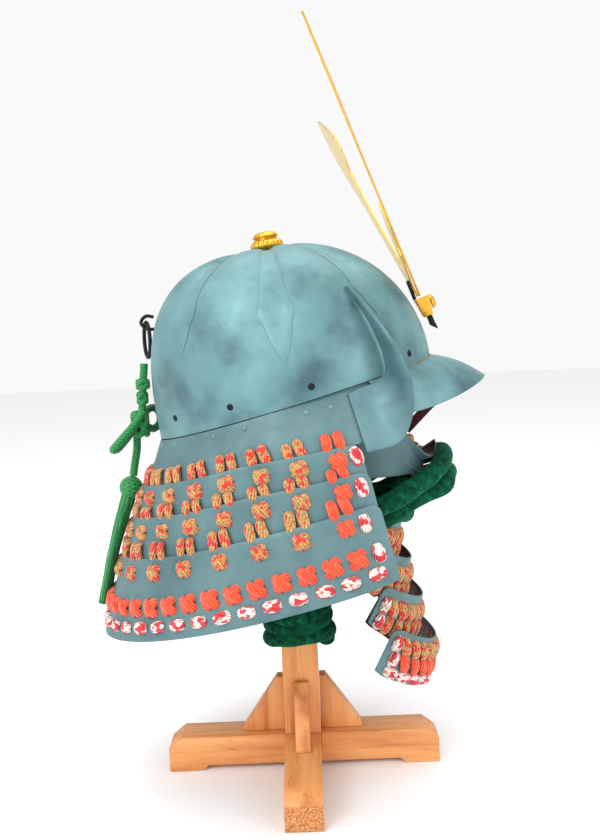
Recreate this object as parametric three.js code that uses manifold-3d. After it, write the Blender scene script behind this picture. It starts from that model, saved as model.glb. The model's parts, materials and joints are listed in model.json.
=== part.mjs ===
// A kabuto, the helmet of a Japanese suit of armour, on its wooden cross stand.
//
// An eight-lobed bowl with a gilt crown fitting carries a visor, two turned-back
// wings, a crest of two horns and a centre blade, and a laced neck guard. A half
// mask with a laced throat guard stands in front of the post, tied on by a padded
// velvet cord, and a green tassel hangs from a ring at the back.
//
// Millimetres, +Z up. The wearer faces -Y, so the wearer's right is -X. The origin
// is on the floor under the middle of the whole.

import * as THREE from 'three';
import { mergeVertices } from 'three/addons/utils/BufferGeometryUtils.js';
import Module from 'manifold-3d';

const wasm = await Module();
wasm.setup();

// ---------------------------------------------------------------- sizes

const SOFT_NODES = ['chin_cord', 'post_knot', 'tassel_cord', 'tassel'];

const GAP = 0.3; // between pieces that touch on the real thing

const STAND = {
  post: { side: 36, bottom: 34.6, top: 455 },
  bar: { width: 35, height: 34.6, length: 272, relief: 4.9, foot: 34, ramp: 5.7 },
  chamfer: { along: 13.7, high: 10.8 },
  gusset: { thick: 14, run: 41.6, rise: 55.5 },
  arm: { width: 30, low: 175, high: 202, reach: 78 },
  upright: { width: 30, depth: 16, top: 296 },
  rest: { width: 22, back: 60, front: 121, height: 33, round: 12 },
  lining: { thick: 3, long: 66, wide: 9, tilt: 135, centre: [22, 140, 355] },
  block: { radius: 52, height: 26 },
};

// The bowl leans back, and its rim plane leans further than its crown does.
const BOWL = {
  pivot: { forward: 6.5, up: 374 },
  lean: 8,
  rimLean: 7,
  halfLength: 134,
  halfWidth: 113,
  crown: 143.5,
  dip: 6,
  wall: 2,
  lobes: 8,
  valley: 9,
  middle: 30,
  columns: 40,
  rows: 11,
};

// Strips lie in the valleys; those at the sides reach further down.
const STRIP = { thick: 1.2, ridge: 1.4, lift: 3.5, start: 0.12, end: 0.8, sideEnd: 0.9 };

const FINIAL = { radius: 16, height: 20, flutes: 16 };

const VISOR = { spread: 60, reach: 46, drop: 36, wall: 2 };

// The neck guard's plates lie on one cone; depth is measured down from the rim.
const GUARD = {
  centre: -10,
  rear: 136.8,
  rearFlare: 0.69,
  side: 113.4,
  sideFlare: 0.29,
  front: 140,
  wall: 1.8,
  cornerRadius: 9,
  columns: 32,
};

// Each plate's depths, how far its top stands proud of the cone, where it ends at
// the front, and the depths of its row of crossed laces and its row of edge laces.
const PLATES = [
  { name: 'neck_band', top: 0.6, bottom: 48, proud: 0, frontEdge: 70 },
  { name: 'neck_lame_1', top: 36, bottom: 76, proud: 6, frontEdge: 43, knots: 46 },
  { name: 'neck_lame_2', top: 62, bottom: 108, proud: 6, frontEdge: 43, knots: 75 },
  { name: 'neck_lame_3', top: 95, bottom: 163, proud: 6, frontEdge: 43, knots: 108, edge: 142 },
];

// Bosses of lacing: size across, size down and height off the plate.
const LACE = {
  knot: { wide: 18, tall: 18, proud: 5 },
  edge: { wide: 19, tall: 30, proud: 4.5 },
  throat: { wide: 18, tall: 18, proud: 4.5 },
  columns: 18,
  edgeColumns: 28,
  throatColumns: 8,
  inset: 20,
};

// A wing, in the rim's frame: its inner edge hugs the bowl and then runs down the
// neck band; its outer edge stands off in an arc. Each point is side, forward, up.
const WING = {
  wall: 1.8,
  bulge: 5,
  rows: [
    { inner: [83, 73, 84], outer: [87, 76, 84] },
    { inner: [90, 81, 60], outer: [102, 87, 57] },
    { inner: [93, 85, 40], outer: [110, 95, 37] },
    { inner: [93, 87, 20], outer: [118, 100.5, 12] },
    { inner: [93, 84, 2], outer: [125, 100.7, -14] },
    { inner: [98, 72, -3], outer: [127, 93, -38] },
    { inner: [103, 60, -4], outer: [124, 77, -56] },
    { inner: [107, 48, -5], outer: [121.5, 48.5, -57] },
  ],
};

// The half mask: rows from the lip to under the chin, each with how far the front
// reaches from the mask's centre, its height there and its height at the cheeks.
const MASK = {
  centre: 68,
  halfWidth: 70,
  sweep: 104,
  wall: 1.8,
  rows: [
    { reach: 75, front: 323, cheek: 372 },
    { reach: 62, front: 315, cheek: 350 },
    { reach: 62, front: 288, cheek: 326 },
    { reach: 76, front: 279, cheek: 312 },
    { reach: 50, front: 268, cheek: 300 },
  ],
  dip: 14,
  teeth: { reach: 59, halfWidth: 24, low: 310, high: 321, thick: 2 },
};

// Each throat lame hangs from its own centre, tipped forward, an arc open behind.
const THROAT = {
  tip: 31,
  sweep: 82,
  wall: 1.8,
  frontFlare: 0.29,
  sideFlare: 0.15,
  lames: [
    { forward: 68, up: 270, reach: 46, halfWidth: 52, height: 36 },
    { forward: 73, up: 235, reach: 50, halfWidth: 55, height: 39 },
    { forward: 78, up: 200, reach: 56, halfWidth: 59, height: 40 },
    { forward: 84.3, up: 161, reach: 62.7, halfWidth: 64, height: 46 },
  ],
};

// The crest leans back, sits a little turned on its hook, and its horns sweep back.
const CREST = {
  base: { forward: 133, up: 463 },
  lean: 20,
  turn: -2.6,
  sweep: 5.7,
  thick: 1.6,
};

const CORD = { radius: 9, sides: 8, steps: 56 };

// The velvet cord's turns round the post.
const POST_KNOT = { inner: 25.8, outer: 37, bottom: 118, turns: 3, pitch: 18.5 };

const RING = {
  radius: 1.9,
  halfWidth: 11,
  halfHeight: 17,
  centre: { forward: -135, up: 434 },
  turn: 24,
  steps: 16,
};

const TASSEL = {
  cordRadius: 3.8,
  sides: 8,
  steps: 26,
  locks: 9,
  head: { radius: 11.5, forward: -160, up: 289 },
  skirt: [
    { forward: -162, up: 283, halfWidth: 8, halfDepth: 7 },
    { forward: -169, up: 264, halfWidth: 12, halfDepth: 6 },
    { forward: -181.5, up: 226, halfWidth: 13, halfDepth: 4.6 },
    { forward: -194.5, up: 174, halfWidth: 14, halfDepth: 4.4 },
  ],
};

// ---------------------------------------------------------------- helpers

const rad = THREE.MathUtils.degToRad;
const lerp = THREE.MathUtils.lerp;
const clamp = THREE.MathUtils.clamp;

/** A point given as distance to the wearer's left, forward and up. */
function at(side, forward, up) {
  return new THREE.Vector3(side, -forward, up);
}

/** Value of a table of [position, value] pairs at t, with straight lines between. */
function table(rows, t) {
  if (t <= rows[0][0]) return rows[0][1];
  for (let i = 1; i < rows.length; i++) {
    const [t1, v1] = rows[i];
    const [t0, v0] = rows[i - 1];
    if (t <= t1) return lerp(v0, v1, (t - t0) / (t1 - t0));
  }
  return rows[rows.length - 1][1];
}

/** A closed geometry from points and triangles, turned so that it faces out. */
function closed(points, faces) {
  let volume = 0;
  for (const [a, b, c] of faces) {
    volume += points[a].dot(points[b].clone().cross(points[c]));
  }
  const index = faces.flatMap(([a, b, c]) => (volume < 0 ? [a, c, b] : [a, b, c]));
  const geometry = new THREE.BufferGeometry().setFromPoints(points);
  geometry.setIndex(index);
  return geometry;
}

/**
 * Thickens a grid of surface points into a plate. The surface is a function of u
 * and v from 0 to 1; the plate's other face lies `wall` behind it, away from the
 * side that the product of the u and v directions points to. `ring` closes it
 * along u, and `pole` closes it to a point at v = 0.
 */
function plate({ surface, columns, rows, wall, ring = false, pole = false, us = null, vs = null }) {
  const uAt = (i) => (us ? us[i] : i / columns);
  const vAt = (j) => (vs ? vs[j] : j / rows);
  const across = ring ? columns : columns + 1;
  const step = 1e-4;
  const outer = [];
  const inner = [];
  const rowStart = [];
  for (let j = 0; j <= rows; j++) {
    rowStart.push(outer.length);
    const count = pole && j === 0 ? 1 : across;
    for (let i = 0; i < count; i++) {
      const [u, v] = [uAt(i), vAt(j)];
      const point = surface(u, v);
      const [u0, u1] = ring ? [u - step, u + step] : [Math.max(0, u - step), Math.min(1, u + step)];
      const [v0, v1] = [Math.max(0, v - step), Math.min(1, v + step)];
      const along = surface(u1, v).sub(surface(u0, v));
      const down = surface(u, v1).sub(surface(u, v0));
      const normal = pole && j === 0 ? new THREE.Vector3(0, 0, 1) : along.cross(down).normalize();
      outer.push(point);
      inner.push(point.clone().addScaledVector(normal, -wall));
    }
  }
  const points = [...outer, ...inner];
  const shift = outer.length;
  const id = (i, j) => (pole && j === 0 ? 0 : rowStart[j] + (ring ? i % columns : i));
  const faces = [];
  for (let j = 0; j < rows; j++) {
    for (let i = 0; i < columns; i++) {
      const [a, b, c, d] = [id(i, j), id(i + 1, j), id(i + 1, j + 1), id(i, j + 1)];
      if (a !== b) faces.push([a, b, c], [a + shift, c + shift, b + shift]);
      faces.push([a, c, d], [a + shift, d + shift, c + shift]);
    }
  }
  const wallFace = (a, b) => faces.push([a, a + shift, b], [b, a + shift, b + shift]);
  for (let i = 0; i < columns; i++) {
    if (!pole) wallFace(id(i, 0), id(i + 1, 0));
    wallFace(id(i + 1, rows), id(i, rows));
  }
  if (!ring) {
    for (let j = 0; j < rows; j++) {
      wallFace(id(0, j + 1), id(0, j));
      wallFace(id(columns, j), id(columns, j + 1));
    }
  }
  return closed(points, faces);
}

/** Joins rings of points, each a closed loop, into a solid with a fan at each end. */
function loft(rings, { endless = false } = {}) {
  const sides = rings[0].length;
  const points = rings.flat();
  const faces = [];
  const spans = endless ? rings.length : rings.length - 1;
  for (let r = 0; r < spans; r++) {
    const next = (r + 1) % rings.length;
    for (let i = 0; i < sides; i++) {
      const k = (i + 1) % sides;
      const [a, b] = [r * sides + i, r * sides + k];
      const [c, d] = [next * sides + k, next * sides + i];
      faces.push([a, b, c], [a, c, d]);
    }
  }
  if (!endless) {
    const last = (rings.length - 1) * sides;
    for (let i = 1; i < sides - 1; i++) {
      faces.push([0, i + 1, i], [last, last + i, last + i + 1]);
    }
  }
  return closed(points, faces);
}

/** A round cord along a smooth curve through the given points. */
function cord(route, radius, sides, steps) {
  const section = new THREE.Shape(
    Array.from({ length: sides }, (_, i) => {
      const angle = (2 * Math.PI * i) / sides;
      return new THREE.Vector2(radius * Math.cos(angle), radius * Math.sin(angle));
    }),
  );
  const path = new THREE.CatmullRomCurve3(route, false, 'centripetal');
  return new THREE.ExtrudeGeometry(section, { steps, bevelEnabled: false, extrudePath: path });
}

/** A three.js geometry as a manifold-3d solid. */
function solid(geometry) {
  const bare = geometry.index ? geometry.toNonIndexed() : geometry.clone();
  const only = new THREE.BufferGeometry().setAttribute('position', bare.getAttribute('position'));
  const merged = mergeVertices(only, 1e-3);
  return new wasm.Manifold(
    new wasm.Mesh({
      numProp: 3,
      vertProperties: merged.attributes.position.array,
      triVerts: new Uint32Array(merged.index.array),
    }),
  );
}

/** A manifold-3d solid as a three.js geometry. */
function geometryOf(manifold) {
  const mesh = manifold.getMesh();
  const geometry = new THREE.BufferGeometry();
  geometry.setAttribute('position', new THREE.BufferAttribute(new Float32Array(mesh.vertProperties), 3));
  geometry.setIndex(new THREE.BufferAttribute(new Uint32Array(mesh.triVerts), 1));
  return geometry;
}

/** One solid of a geometry and whatever is fused to it. */
function fused(geometry, additions) {
  let whole = solid(geometry);
  for (const addition of additions) whole = whole.add(solid(addition));
  return geometryOf(whole);
}

/** A solid outline in the XZ plane, `thick` through, centred on y = 0. */
function slab(shape, thick, curveSegments = 6) {
  const geometry = new THREE.ExtrudeGeometry(shape, { depth: thick, bevelEnabled: false, curveSegments });
  geometry.rotateX(Math.PI / 2);
  geometry.translate(0, thick / 2, 0);
  return geometry;
}

// ---------------------------------------------------------------- materials

const finish = (color, metalness, roughness) =>
  new THREE.MeshStandardMaterial({ color, metalness, roughness });

const PATINA = finish('#5f8a8c', 0.4, 0.5);
const SLATE = finish('#56757a', 0.3, 0.55);
const GILT = finish('#d9a032', 1, 0.3);
const BLACK_IRON = finish('#2a2c2e', 0.8, 0.5);
const WOOD = finish('#d08a50', 0, 0.6);
const VELVET = finish('#00462e', 0, 0.95);
const GREEN_SILK = finish('#0c8a3a', 0, 0.8);
const MAROON = finish('#4a1a2a', 0, 0.8);

const root = new THREE.Group();

/** Adds a named mesh to a group. */
function add(group, name, geometry, material) {
  const mesh = new THREE.Mesh(geometry, material);
  mesh.name = name;
  group.add(mesh);
  return mesh;
}

// ---------------------------------------------------------------- stand

/** Outline of a base bar seen from the side: chamfered ends, two feet, a relief. */
function barOutline() {
  const { length, height, relief, foot, ramp } = STAND.bar;
  const { along, high } = STAND.chamfer;
  const half = length / 2;
  const right = [
    [half - foot - ramp, relief],
    [half - foot, 0],
    [half, 0],
    [half, height - high],
    [half - along, height],
  ];
  const left = right.map(([x, z]) => [-x, z]).reverse();
  return new THREE.Shape([...right, ...left].map(([x, z]) => new THREE.Vector2(x, z)));
}

/** A base bar with the half-lap notch cut from its top or its underside. */
function baseBar(notchOnTop) {
  const { width, height } = STAND.bar;
  const bar = slab(barOutline(), width);
  const notch = new THREE.BoxGeometry(width + 2 * GAP, width + 2, height);
  const middle = height / 2 + STAND.bar.relief / 2;
  notch.translate(0, 0, notchOnTop ? middle + height / 2 : middle + GAP - height / 2);
  return geometryOf(solid(bar).subtract(solid(notch)));
}

function buildStand(group) {
  const { post, bar, gusset, arm, upright, rest, lining, block } = STAND;
  const lengthways = baseBar(true);
  lengthways.rotateZ(Math.PI / 2);
  add(group, 'base_bar_lengthways', lengthways, WOOD);
  add(group, 'base_bar_crossways', baseBar(false), WOOD);

  const postBottom = bar.height + GAP;
  const postBox = new THREE.BoxGeometry(post.side, post.side, post.top - postBottom);
  postBox.translate(0, 0, (post.top + postBottom) / 2);
  add(group, 'post', postBox, WOOD);

  const brace = new THREE.Shape([
    new THREE.Vector2(0, 0),
    new THREE.Vector2(gusset.run, 0),
    new THREE.Vector2(gusset.run, 4),
    new THREE.Vector2(6, gusset.rise),
    new THREE.Vector2(0, gusset.rise),
  ]);
  ['left', 'back', 'right', 'front'].forEach((name, quarter) => {
    const geometry = slab(brace, gusset.thick);
    geometry.translate(post.side / 2 + GAP, 0, postBottom);
    geometry.rotateZ((quarter * Math.PI) / 2);
    add(group, `gusset_${name}`, geometry, WOOD);
  });

  const armStart = post.side / 2 + GAP;
  const armBox = new THREE.BoxGeometry(arm.width, arm.reach - armStart, arm.high - arm.low);
  armBox.translate(0, -(arm.reach + armStart) / 2, (arm.high + arm.low) / 2);
  add(group, 'mask_arm', armBox, WOOD);

  const uprightBottom = arm.high + GAP;
  const uprightBox = new THREE.BoxGeometry(upright.width, upright.depth, upright.top - uprightBottom);
  uprightBox.translate(0, -(arm.reach - upright.depth / 2), (upright.top + uprightBottom) / 2);
  add(group, 'mask_upright', uprightBox, WOOD);

  const { back, front, height, round } = rest;
  const side = new THREE.Shape();
  side.moveTo(back, 0);
  side.lineTo(front - round, 0);
  side.quadraticCurveTo(front, 0, front, round);
  side.lineTo(front, height);
  side.lineTo(back, height);
  const strap = new THREE.BoxGeometry(lining.thick, lining.long, lining.wide);
  strap.rotateX(rad(lining.tilt));
  strap.translate(...at(...lining.centre).toArray());
  add(group, 'lining_strap', strap, MAROON);

  const restBlock = slab(side, rest.width, 3);
  restBlock.rotateZ(-Math.PI / 2);
  restBlock.translate(0, 0, upright.top + GAP);
  add(group, 'mask_rest', restBlock, WOOD);

  const blockBottom = post.top + GAP;
  const profile = [
    [0, blockBottom],
    [block.radius * 0.8, blockBottom],
    [block.radius, blockBottom + block.height * 0.35],
    [block.radius * 0.7, blockBottom + block.height * 0.85],
    [0, blockBottom + block.height],
  ].map(([r, z]) => new THREE.Vector2(r, z));
  const blockTop = new THREE.LatheGeometry(profile, 16);
  blockTop.rotateX(Math.PI / 2);
  add(group, 'top_block', blockTop, WOOD);
}

// ---------------------------------------------------------------- bowl

/** Height of the rim above the pivot at a forward distance, in the bowl's frame. */
const rimHeight = (forward) => forward * Math.tan(rad(BOWL.rimLean));

/** How deep the groove between two lobes is, from 0 on a lobe to 1 in a valley. */
function valley(angle) {
  const wave = Math.abs(Math.sin((angle * BOWL.lobes) / 2));
  return (1 - wave) ** 1.5;
}

/** The bowl's outer surface: angle from the front, t from the crown to the rim. */
function bowlPoint(angle, t) {
  const power = 2.6 - 0.45 * Math.cos(angle);
  const sweep = (clamp(t, 0, 1) * Math.PI) / 2;
  const out = Math.sin(sweep) ** (2 / power);
  const rise = Math.cos(sweep) ** (2 / power);
  const forward = BOWL.halfLength * Math.cos(angle) * out;
  const side = BOWL.halfWidth * Math.sin(angle) * out;
  const rim = rimHeight(BOWL.halfLength * Math.cos(angle));
  const dip = BOWL.dip * clamp(1 - t / 0.16, 0, 1) ** 2;
  const up = lerp(rim, BOWL.crown, rise) - dip;
  const fade = clamp(t / 0.12, 0, 1) * clamp((0.92 - t) / 0.5, 0, 1);
  const point = at(side, forward, up);
  const inward = at(0, 0, BOWL.middle).sub(point).normalize();
  return point.addScaledVector(inward, BOWL.valley * valley(angle) * fade);
}

/** The point of the bowl's flat facets at an angle and a share t of the way down. */
function facetPoint(angle, t) {
  const place = [angle / (2 * Math.PI), t].map((share, k) => share * [BOWL.columns, BOWL.rows][k]);
  const [i, j] = place.map(Math.floor);
  const [across, down] = [place[0] - i, place[1] - j];
  const corner = (di, dj) => bowlPoint((2 * Math.PI * (i + di)) / BOWL.columns, (j + dj) / BOWL.rows);
  const turn = across > down ? corner(1, 0) : corner(0, 1);
  const [first, second] = across > down ? [across, down] : [down, across];
  return corner(0, 0)
    .multiplyScalar(1 - first)
    .addScaledVector(turn, first - second)
    .addScaledVector(corner(1, 1), second);
}

/** Half width of a strip along its length: a blade with a shoulder and a leaf tip. */
const STRIP_HALF_WIDTH = [
  [0, 3.5],
  [0.55, 8.5],
  [0.7, 12.5],
  [0.74, 13],
  [0.79, 10],
  [0.88, 8],
  [1, 0.6],
];

function bowlStrip(angle) {
  const { thick, ridge, lift, start } = STRIP;
  const end = lerp(STRIP.end, STRIP.sideEnd, Math.abs(Math.sin(angle)) ** 8);
  const rows = Array.from({ length: BOWL.rows }, (_, j) => j / BOWL.rows);
  const stops = [start, ...rows.filter((t) => t > start + 0.02 && t < end - 0.02), end];
  const rings = stops.map((t) => {
    const half = table(STRIP_HALF_WIDTH, (t - start) / (end - start));
    const centre = bowlPoint(angle, t);
    const radius = Math.hypot(centre.x, centre.y);
    const outward = centre.sub(at(0, 0, BOWL.middle)).normalize();
    const corner = ([side, height]) =>
      facetPoint(angle + (side * half) / radius, t).addScaledVector(outward, lift + height);
    return [[-1, thick], [0, thick + ridge], [1, thick], [1, 0], [0, 0], [-1, 0]].map(corner);
  });
  return loft(rings);
}

function finialProfile() {
  const { radius, height } = FINIAL;
  return [
    [0, 0],
    [radius * 0.72, 0],
    [radius * 0.8, height * 0.12],
    [radius, height * 0.3],
    [radius * 0.96, height * 0.5],
    [radius * 0.74, height * 0.66],
    [radius * 0.78, height * 0.78],
    [radius * 0.72, height * 0.95],
    [radius * 0.5, height],
    [0, height * 0.94],
  ].map(([r, z]) => new THREE.Vector2(r, z));
}

function buildBowl(group) {
  const { columns, rows, wall, lobes, crown, dip } = BOWL;
  const surface = (u, v) => bowlPoint(2 * Math.PI * u, v);
  add(group, 'bowl', plate({ surface, columns, rows, wall, ring: true, pole: true }), PATINA);
  for (let i = 0; i < lobes; i++) {
    add(group, `bowl_strip_${i + 1}`, bowlStrip((2 * Math.PI * i) / lobes), PATINA);
  }
  const finial = new THREE.LatheGeometry(finialProfile(), FINIAL.flutes);
  finial.rotateX(Math.PI / 2);
  finial.translate(0, 0, crown - dip + GAP);
  add(group, 'crown_finial', finial, GILT);
}

// ---------------------------------------------------------------- visor, guard, wings

/** A point of the neck guard's cone: angle from the front, depth below the rim. */
function guardPoint(angle, depth, proud) {
  const { centre, rear, rearFlare, side, sideFlare, front } = GUARD;
  const back = rear + rearFlare * depth + centre;
  const reach = Math.cos(angle) > 0 ? front : back;
  const wide = side + sideFlare * depth;
  const point = at(wide * Math.sin(angle), centre + reach * Math.cos(angle), -depth);
  const outward = at(Math.sin(angle), Math.cos(angle), 0);
  return point.addScaledVector(outward, proud);
}

/** Angle from the front at which a plate of the guard ends. */
const endAngle = (frontEdge) => Math.acos((frontEdge - GUARD.centre) / GUARD.front);

/** Distances round the guard from a plate's front edge, for evenly spread angles. */
function lengthsRound({ top, bottom, frontEdge }, steps = 200) {
  const end = endAngle(frontEdge);
  const depth = (top + bottom) / 2;
  const lengths = [[0, -end]];
  for (let i = 1; i <= steps; i++) {
    const [before, now] = [i - 1, i].map((k) => lerp(-end, end - 2 * Math.PI, k / steps));
    const step = guardPoint(now, depth, 0).distanceTo(guardPoint(before, depth, 0));
    lengths.push([lengths[i - 1][0] + step, now]);
  }
  return lengths;
}

/** A plate's outer surface: u from the right front edge round to the left, v down. */
function lameSurface({ top, bottom, proud }, lengths) {
  const { cornerRadius } = GUARD;
  const total = lengths[lengths.length - 1][0];
  return (u, v) => {
    const angle = table(lengths, u * total);
    const fromEnd = Math.min(u, 1 - u) * total;
    const cut = proud > 0 ? clamp(cornerRadius - fromEnd, 0, cornerRadius) : 0;
    const rounding = cornerRadius - Math.sqrt(cornerRadius ** 2 - cut ** 2);
    const depth = lerp(top + rounding, bottom, v);
    const stand = proud * (1 - (depth - top) / (bottom - top));
    return guardPoint(angle, depth, stand);
  };
}

/** A low boss where laces cross, on a surface at u, v, with its base in the wall. */
function boss(surface, u, v, { wide, tall, proud, sides = 4 }) {
  const step = 1e-3;
  const centre = surface(u, v);
  const along = surface(u + step, v).sub(surface(u - step, v)).normalize();
  const down = surface(u, v + step).sub(surface(u, v - step));
  const normal = along.clone().cross(down).normalize();
  if (normal.dot(new THREE.Vector3(centre.x, centre.y, 0)) < 0) normal.negate();
  const lengthways = normal.clone().cross(along);
  const ring = (scale, lift) =>
    Array.from({ length: sides }, (_, i) => {
      const turn = (2 * Math.PI * (i + 0.5)) / sides;
      const stretch = sides === 4 ? Math.SQRT2 : 1;
      return centre
        .clone()
        .addScaledVector(along, (Math.cos(turn) * stretch * scale * wide) / 2)
        .addScaledVector(lengthways, (Math.sin(turn) * stretch * scale * tall) / 2)
        .addScaledVector(normal, lift);
    });
  return loft([ring(1, -1), ring(0.7, proud)]);
}

/** A row of bosses along a plate at v, the same share of its length from each end. */
function laceRow(surface, v, count, inset, shape) {
  return Array.from({ length: count }, (_, i) =>
    boss(surface, lerp(inset, 1 - inset, i / (count - 1)), v, shape),
  );
}

function buildGuard(group) {
  for (const row of PLATES) {
    const lengths = lengthsRound(row);
    const inset = LACE.inset / lengths[lengths.length - 1][0];
    const surface = lameSurface(row, lengths);
    const geometry = plate({ surface, columns: GUARD.columns, rows: 1, wall: GUARD.wall });
    const rowAt = (depth) => (depth - row.top) / (row.bottom - row.top);
    const laces = [];
    if (row.knots) laces.push(...laceRow(surface, rowAt(row.knots), LACE.columns, inset, LACE.knot));
    if (row.edge) laces.push(...laceRow(surface, rowAt(row.edge), LACE.edgeColumns, inset, LACE.edge));
    add(group, row.name, fused(geometry, laces), SLATE);
  }
}

/** The visor: root along the rim's front, then out and down to a rounded edge. */
function buildVisor(group) {
  const { spread, wall } = VISOR;
  const surface = (u, v) => {
    const angle = rad(lerp(-spread, spread, u));
    const across = 2 * u - 1;
    const rootPoint = at(
      (BOWL.halfWidth + 1) * Math.sin(angle),
      (BOWL.halfLength + 2.5) * Math.cos(angle),
      -1,
    );
    const out = VISOR.reach * (1 - 0.25 * across ** 2);
    const edge = at(
      (BOWL.halfWidth - 8) * Math.sin(angle) * (1 - 0.02 * across ** 2),
      (BOWL.halfLength + 2.5) * Math.cos(angle) + out * (1 - 0.7 * across ** 2),
      -VISOR.drop - 22 * across ** 2 * (1 - across ** 2) - 1.2 * across ** 2,
    );
    const arch = 3.5 * Math.sin(Math.PI * v);
    return rootPoint.lerp(edge, v).add(at(0, arch * 0.5, arch));
  };
  add(group, 'visor', plate({ surface, columns: 16, rows: 4, wall: -wall }), PATINA);
}

/** A geometry mirrored to the wearer's other side, its faces still pointing out. */
function mirrored(geometry) {
  const copy = geometry.index ? geometry.toNonIndexed() : geometry.clone();
  copy.scale(-1, 1, 1);
  const position = copy.getAttribute('position').array;
  for (let i = 0; i < position.length; i += 9) {
    for (let k = 0; k < 3; k++) {
      [position[i + 3 + k], position[i + 6 + k]] = [position[i + 6 + k], position[i + 3 + k]];
    }
  }
  return copy;
}

function buildWings(group) {
  const { rows, wall, bulge } = WING;
  const last = rows.length - 1;
  const edge = (name) =>
    new THREE.CatmullRomCurve3(rows.map((row) => at(...row[name])), false, 'centripetal');
  const inner = edge('inner');
  const outer = edge('outer');
  const surface = (u, v) => {
    const point = inner.getPoint(u).lerp(outer.getPoint(u), v);
    const swell = bulge * Math.sin(Math.PI * v) * Math.sin(Math.PI * Math.min(1, 1.15 * u));
    return point.add(at(swell, 0, 0));
  };
  const left = plate({ surface, columns: 2 * last, rows: 4, wall });
  add(group, 'wing_left', left, PATINA);
  add(group, 'wing_right', mirrored(left), PATINA);
}

// ---------------------------------------------------------------- mask and throat guard

function maskPoint(u, v) {
  const { rows, centre, halfWidth, sweep } = MASK;
  const turn = rad(lerp(-sweep, sweep, u));
  const place = v * (rows.length - 1);
  const column = (name) => table(rows.map((row, i) => [i, row[name]]), place);
  const toCheek = THREE.MathUtils.smoothstep(Math.abs(2 * u - 1), 0.2 - 0.1 * v, 0.85 - 0.35 * v);
  const mouth = Math.sin(Math.PI * Math.min(1, Math.abs(2 * u - 1) / 0.7)) * (1 - v) ** 1.5;
  const up = lerp(column('front'), column('cheek'), toCheek) - MASK.dip * mouth;
  const reach = lerp(column('reach'), 68, toCheek);
  return at(halfWidth * Math.sin(turn), centre + reach * Math.cos(turn), up);
}

function buildMask(group) {
  const { wall, teeth, centre } = MASK;
  add(group, 'mask', plate({ surface: maskPoint, columns: 20, rows: 4, wall: -wall }), SLATE);
  const arc = (u, v) => {
    const turn = rad(lerp(-60, 60, u));
    return at(
      (teeth.halfWidth * Math.sin(turn)) / Math.sin(rad(60)),
      centre + teeth.reach - 12 * (1 - Math.cos(turn)),
      lerp(teeth.high, teeth.low, v),
    );
  };
  add(group, 'mask_teeth', plate({ surface: arc, columns: 8, rows: 1, wall: -teeth.thick }), GILT);
}

function buildThroat(group) {
  THROAT.lames.forEach(({ forward, up, reach, halfWidth, height }, index) => {
    const { wall, frontFlare, sideFlare, sweep } = THROAT;
    const surface = (u, v) => {
      const turn = rad(lerp(-sweep, sweep, u));
      const drop = height * v;
      return at(
        (halfWidth + sideFlare * drop) * Math.sin(turn),
        (reach + frontFlare * drop) * Math.cos(turn),
        -drop,
      );
    };
    const solidPlate = plate({ surface, columns: 12, rows: 1, wall: -wall });
    const rows = laceRow(surface, 0.62, LACE.throatColumns, 0.09, LACE.throat);
    const hinge = new THREE.Group();
    hinge.position.copy(at(0, forward, up));
    hinge.rotation.x = rad(THROAT.tip);
    group.add(hinge);
    add(hinge, `throat_lame_${index + 1}`, fused(solidPlate, rows), SLATE);
  });
}

// ---------------------------------------------------------------- crest

/** Outline of a horn in its own plane: side and up from the holder. */
function hornOutline() {
  const shape = new THREE.Shape();
  shape.moveTo(9, 2);
  shape.lineTo(22, 2);
  shape.quadraticCurveTo(66, 60, 104, 108);
  shape.quadraticCurveTo(146, 150, 166, 178);
  shape.quadraticCurveTo(184, 204, 191, 232);
  shape.quadraticCurveTo(160, 222, 121, 194);
  shape.lineTo(119, 198);
  shape.quadraticCurveTo(104, 176, 110, 150);
  shape.lineTo(106, 152);
  shape.quadraticCurveTo(92, 120, 70, 92);
  shape.quadraticCurveTo(30, 45, 9, 2);
  return shape;
}

/** Outline of the centre blade: a leaf with a waist above its foot. */
function bladeOutline() {
  const half = [
    [5, 6],
    [9, 30],
    [17, 44],
    [13, 52],
    [20, 72],
    [14, 84],
    [5, 93],
  ];
  const left = half.map(([x, z]) => [-x, z]).reverse();
  const points = [...half, [0, 100], ...left].map(([x, z]) => new THREE.Vector2(x, z));
  return new THREE.Shape(points);
}

function rectangle(width, depth, up, back = 0) {
  const [w, d] = [width / 2, depth / 2];
  return [[w, -d], [w, d], [-w, d], [-w, -d]].map(([x, y]) => new THREE.Vector3(x, y + back, up));
}

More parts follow.
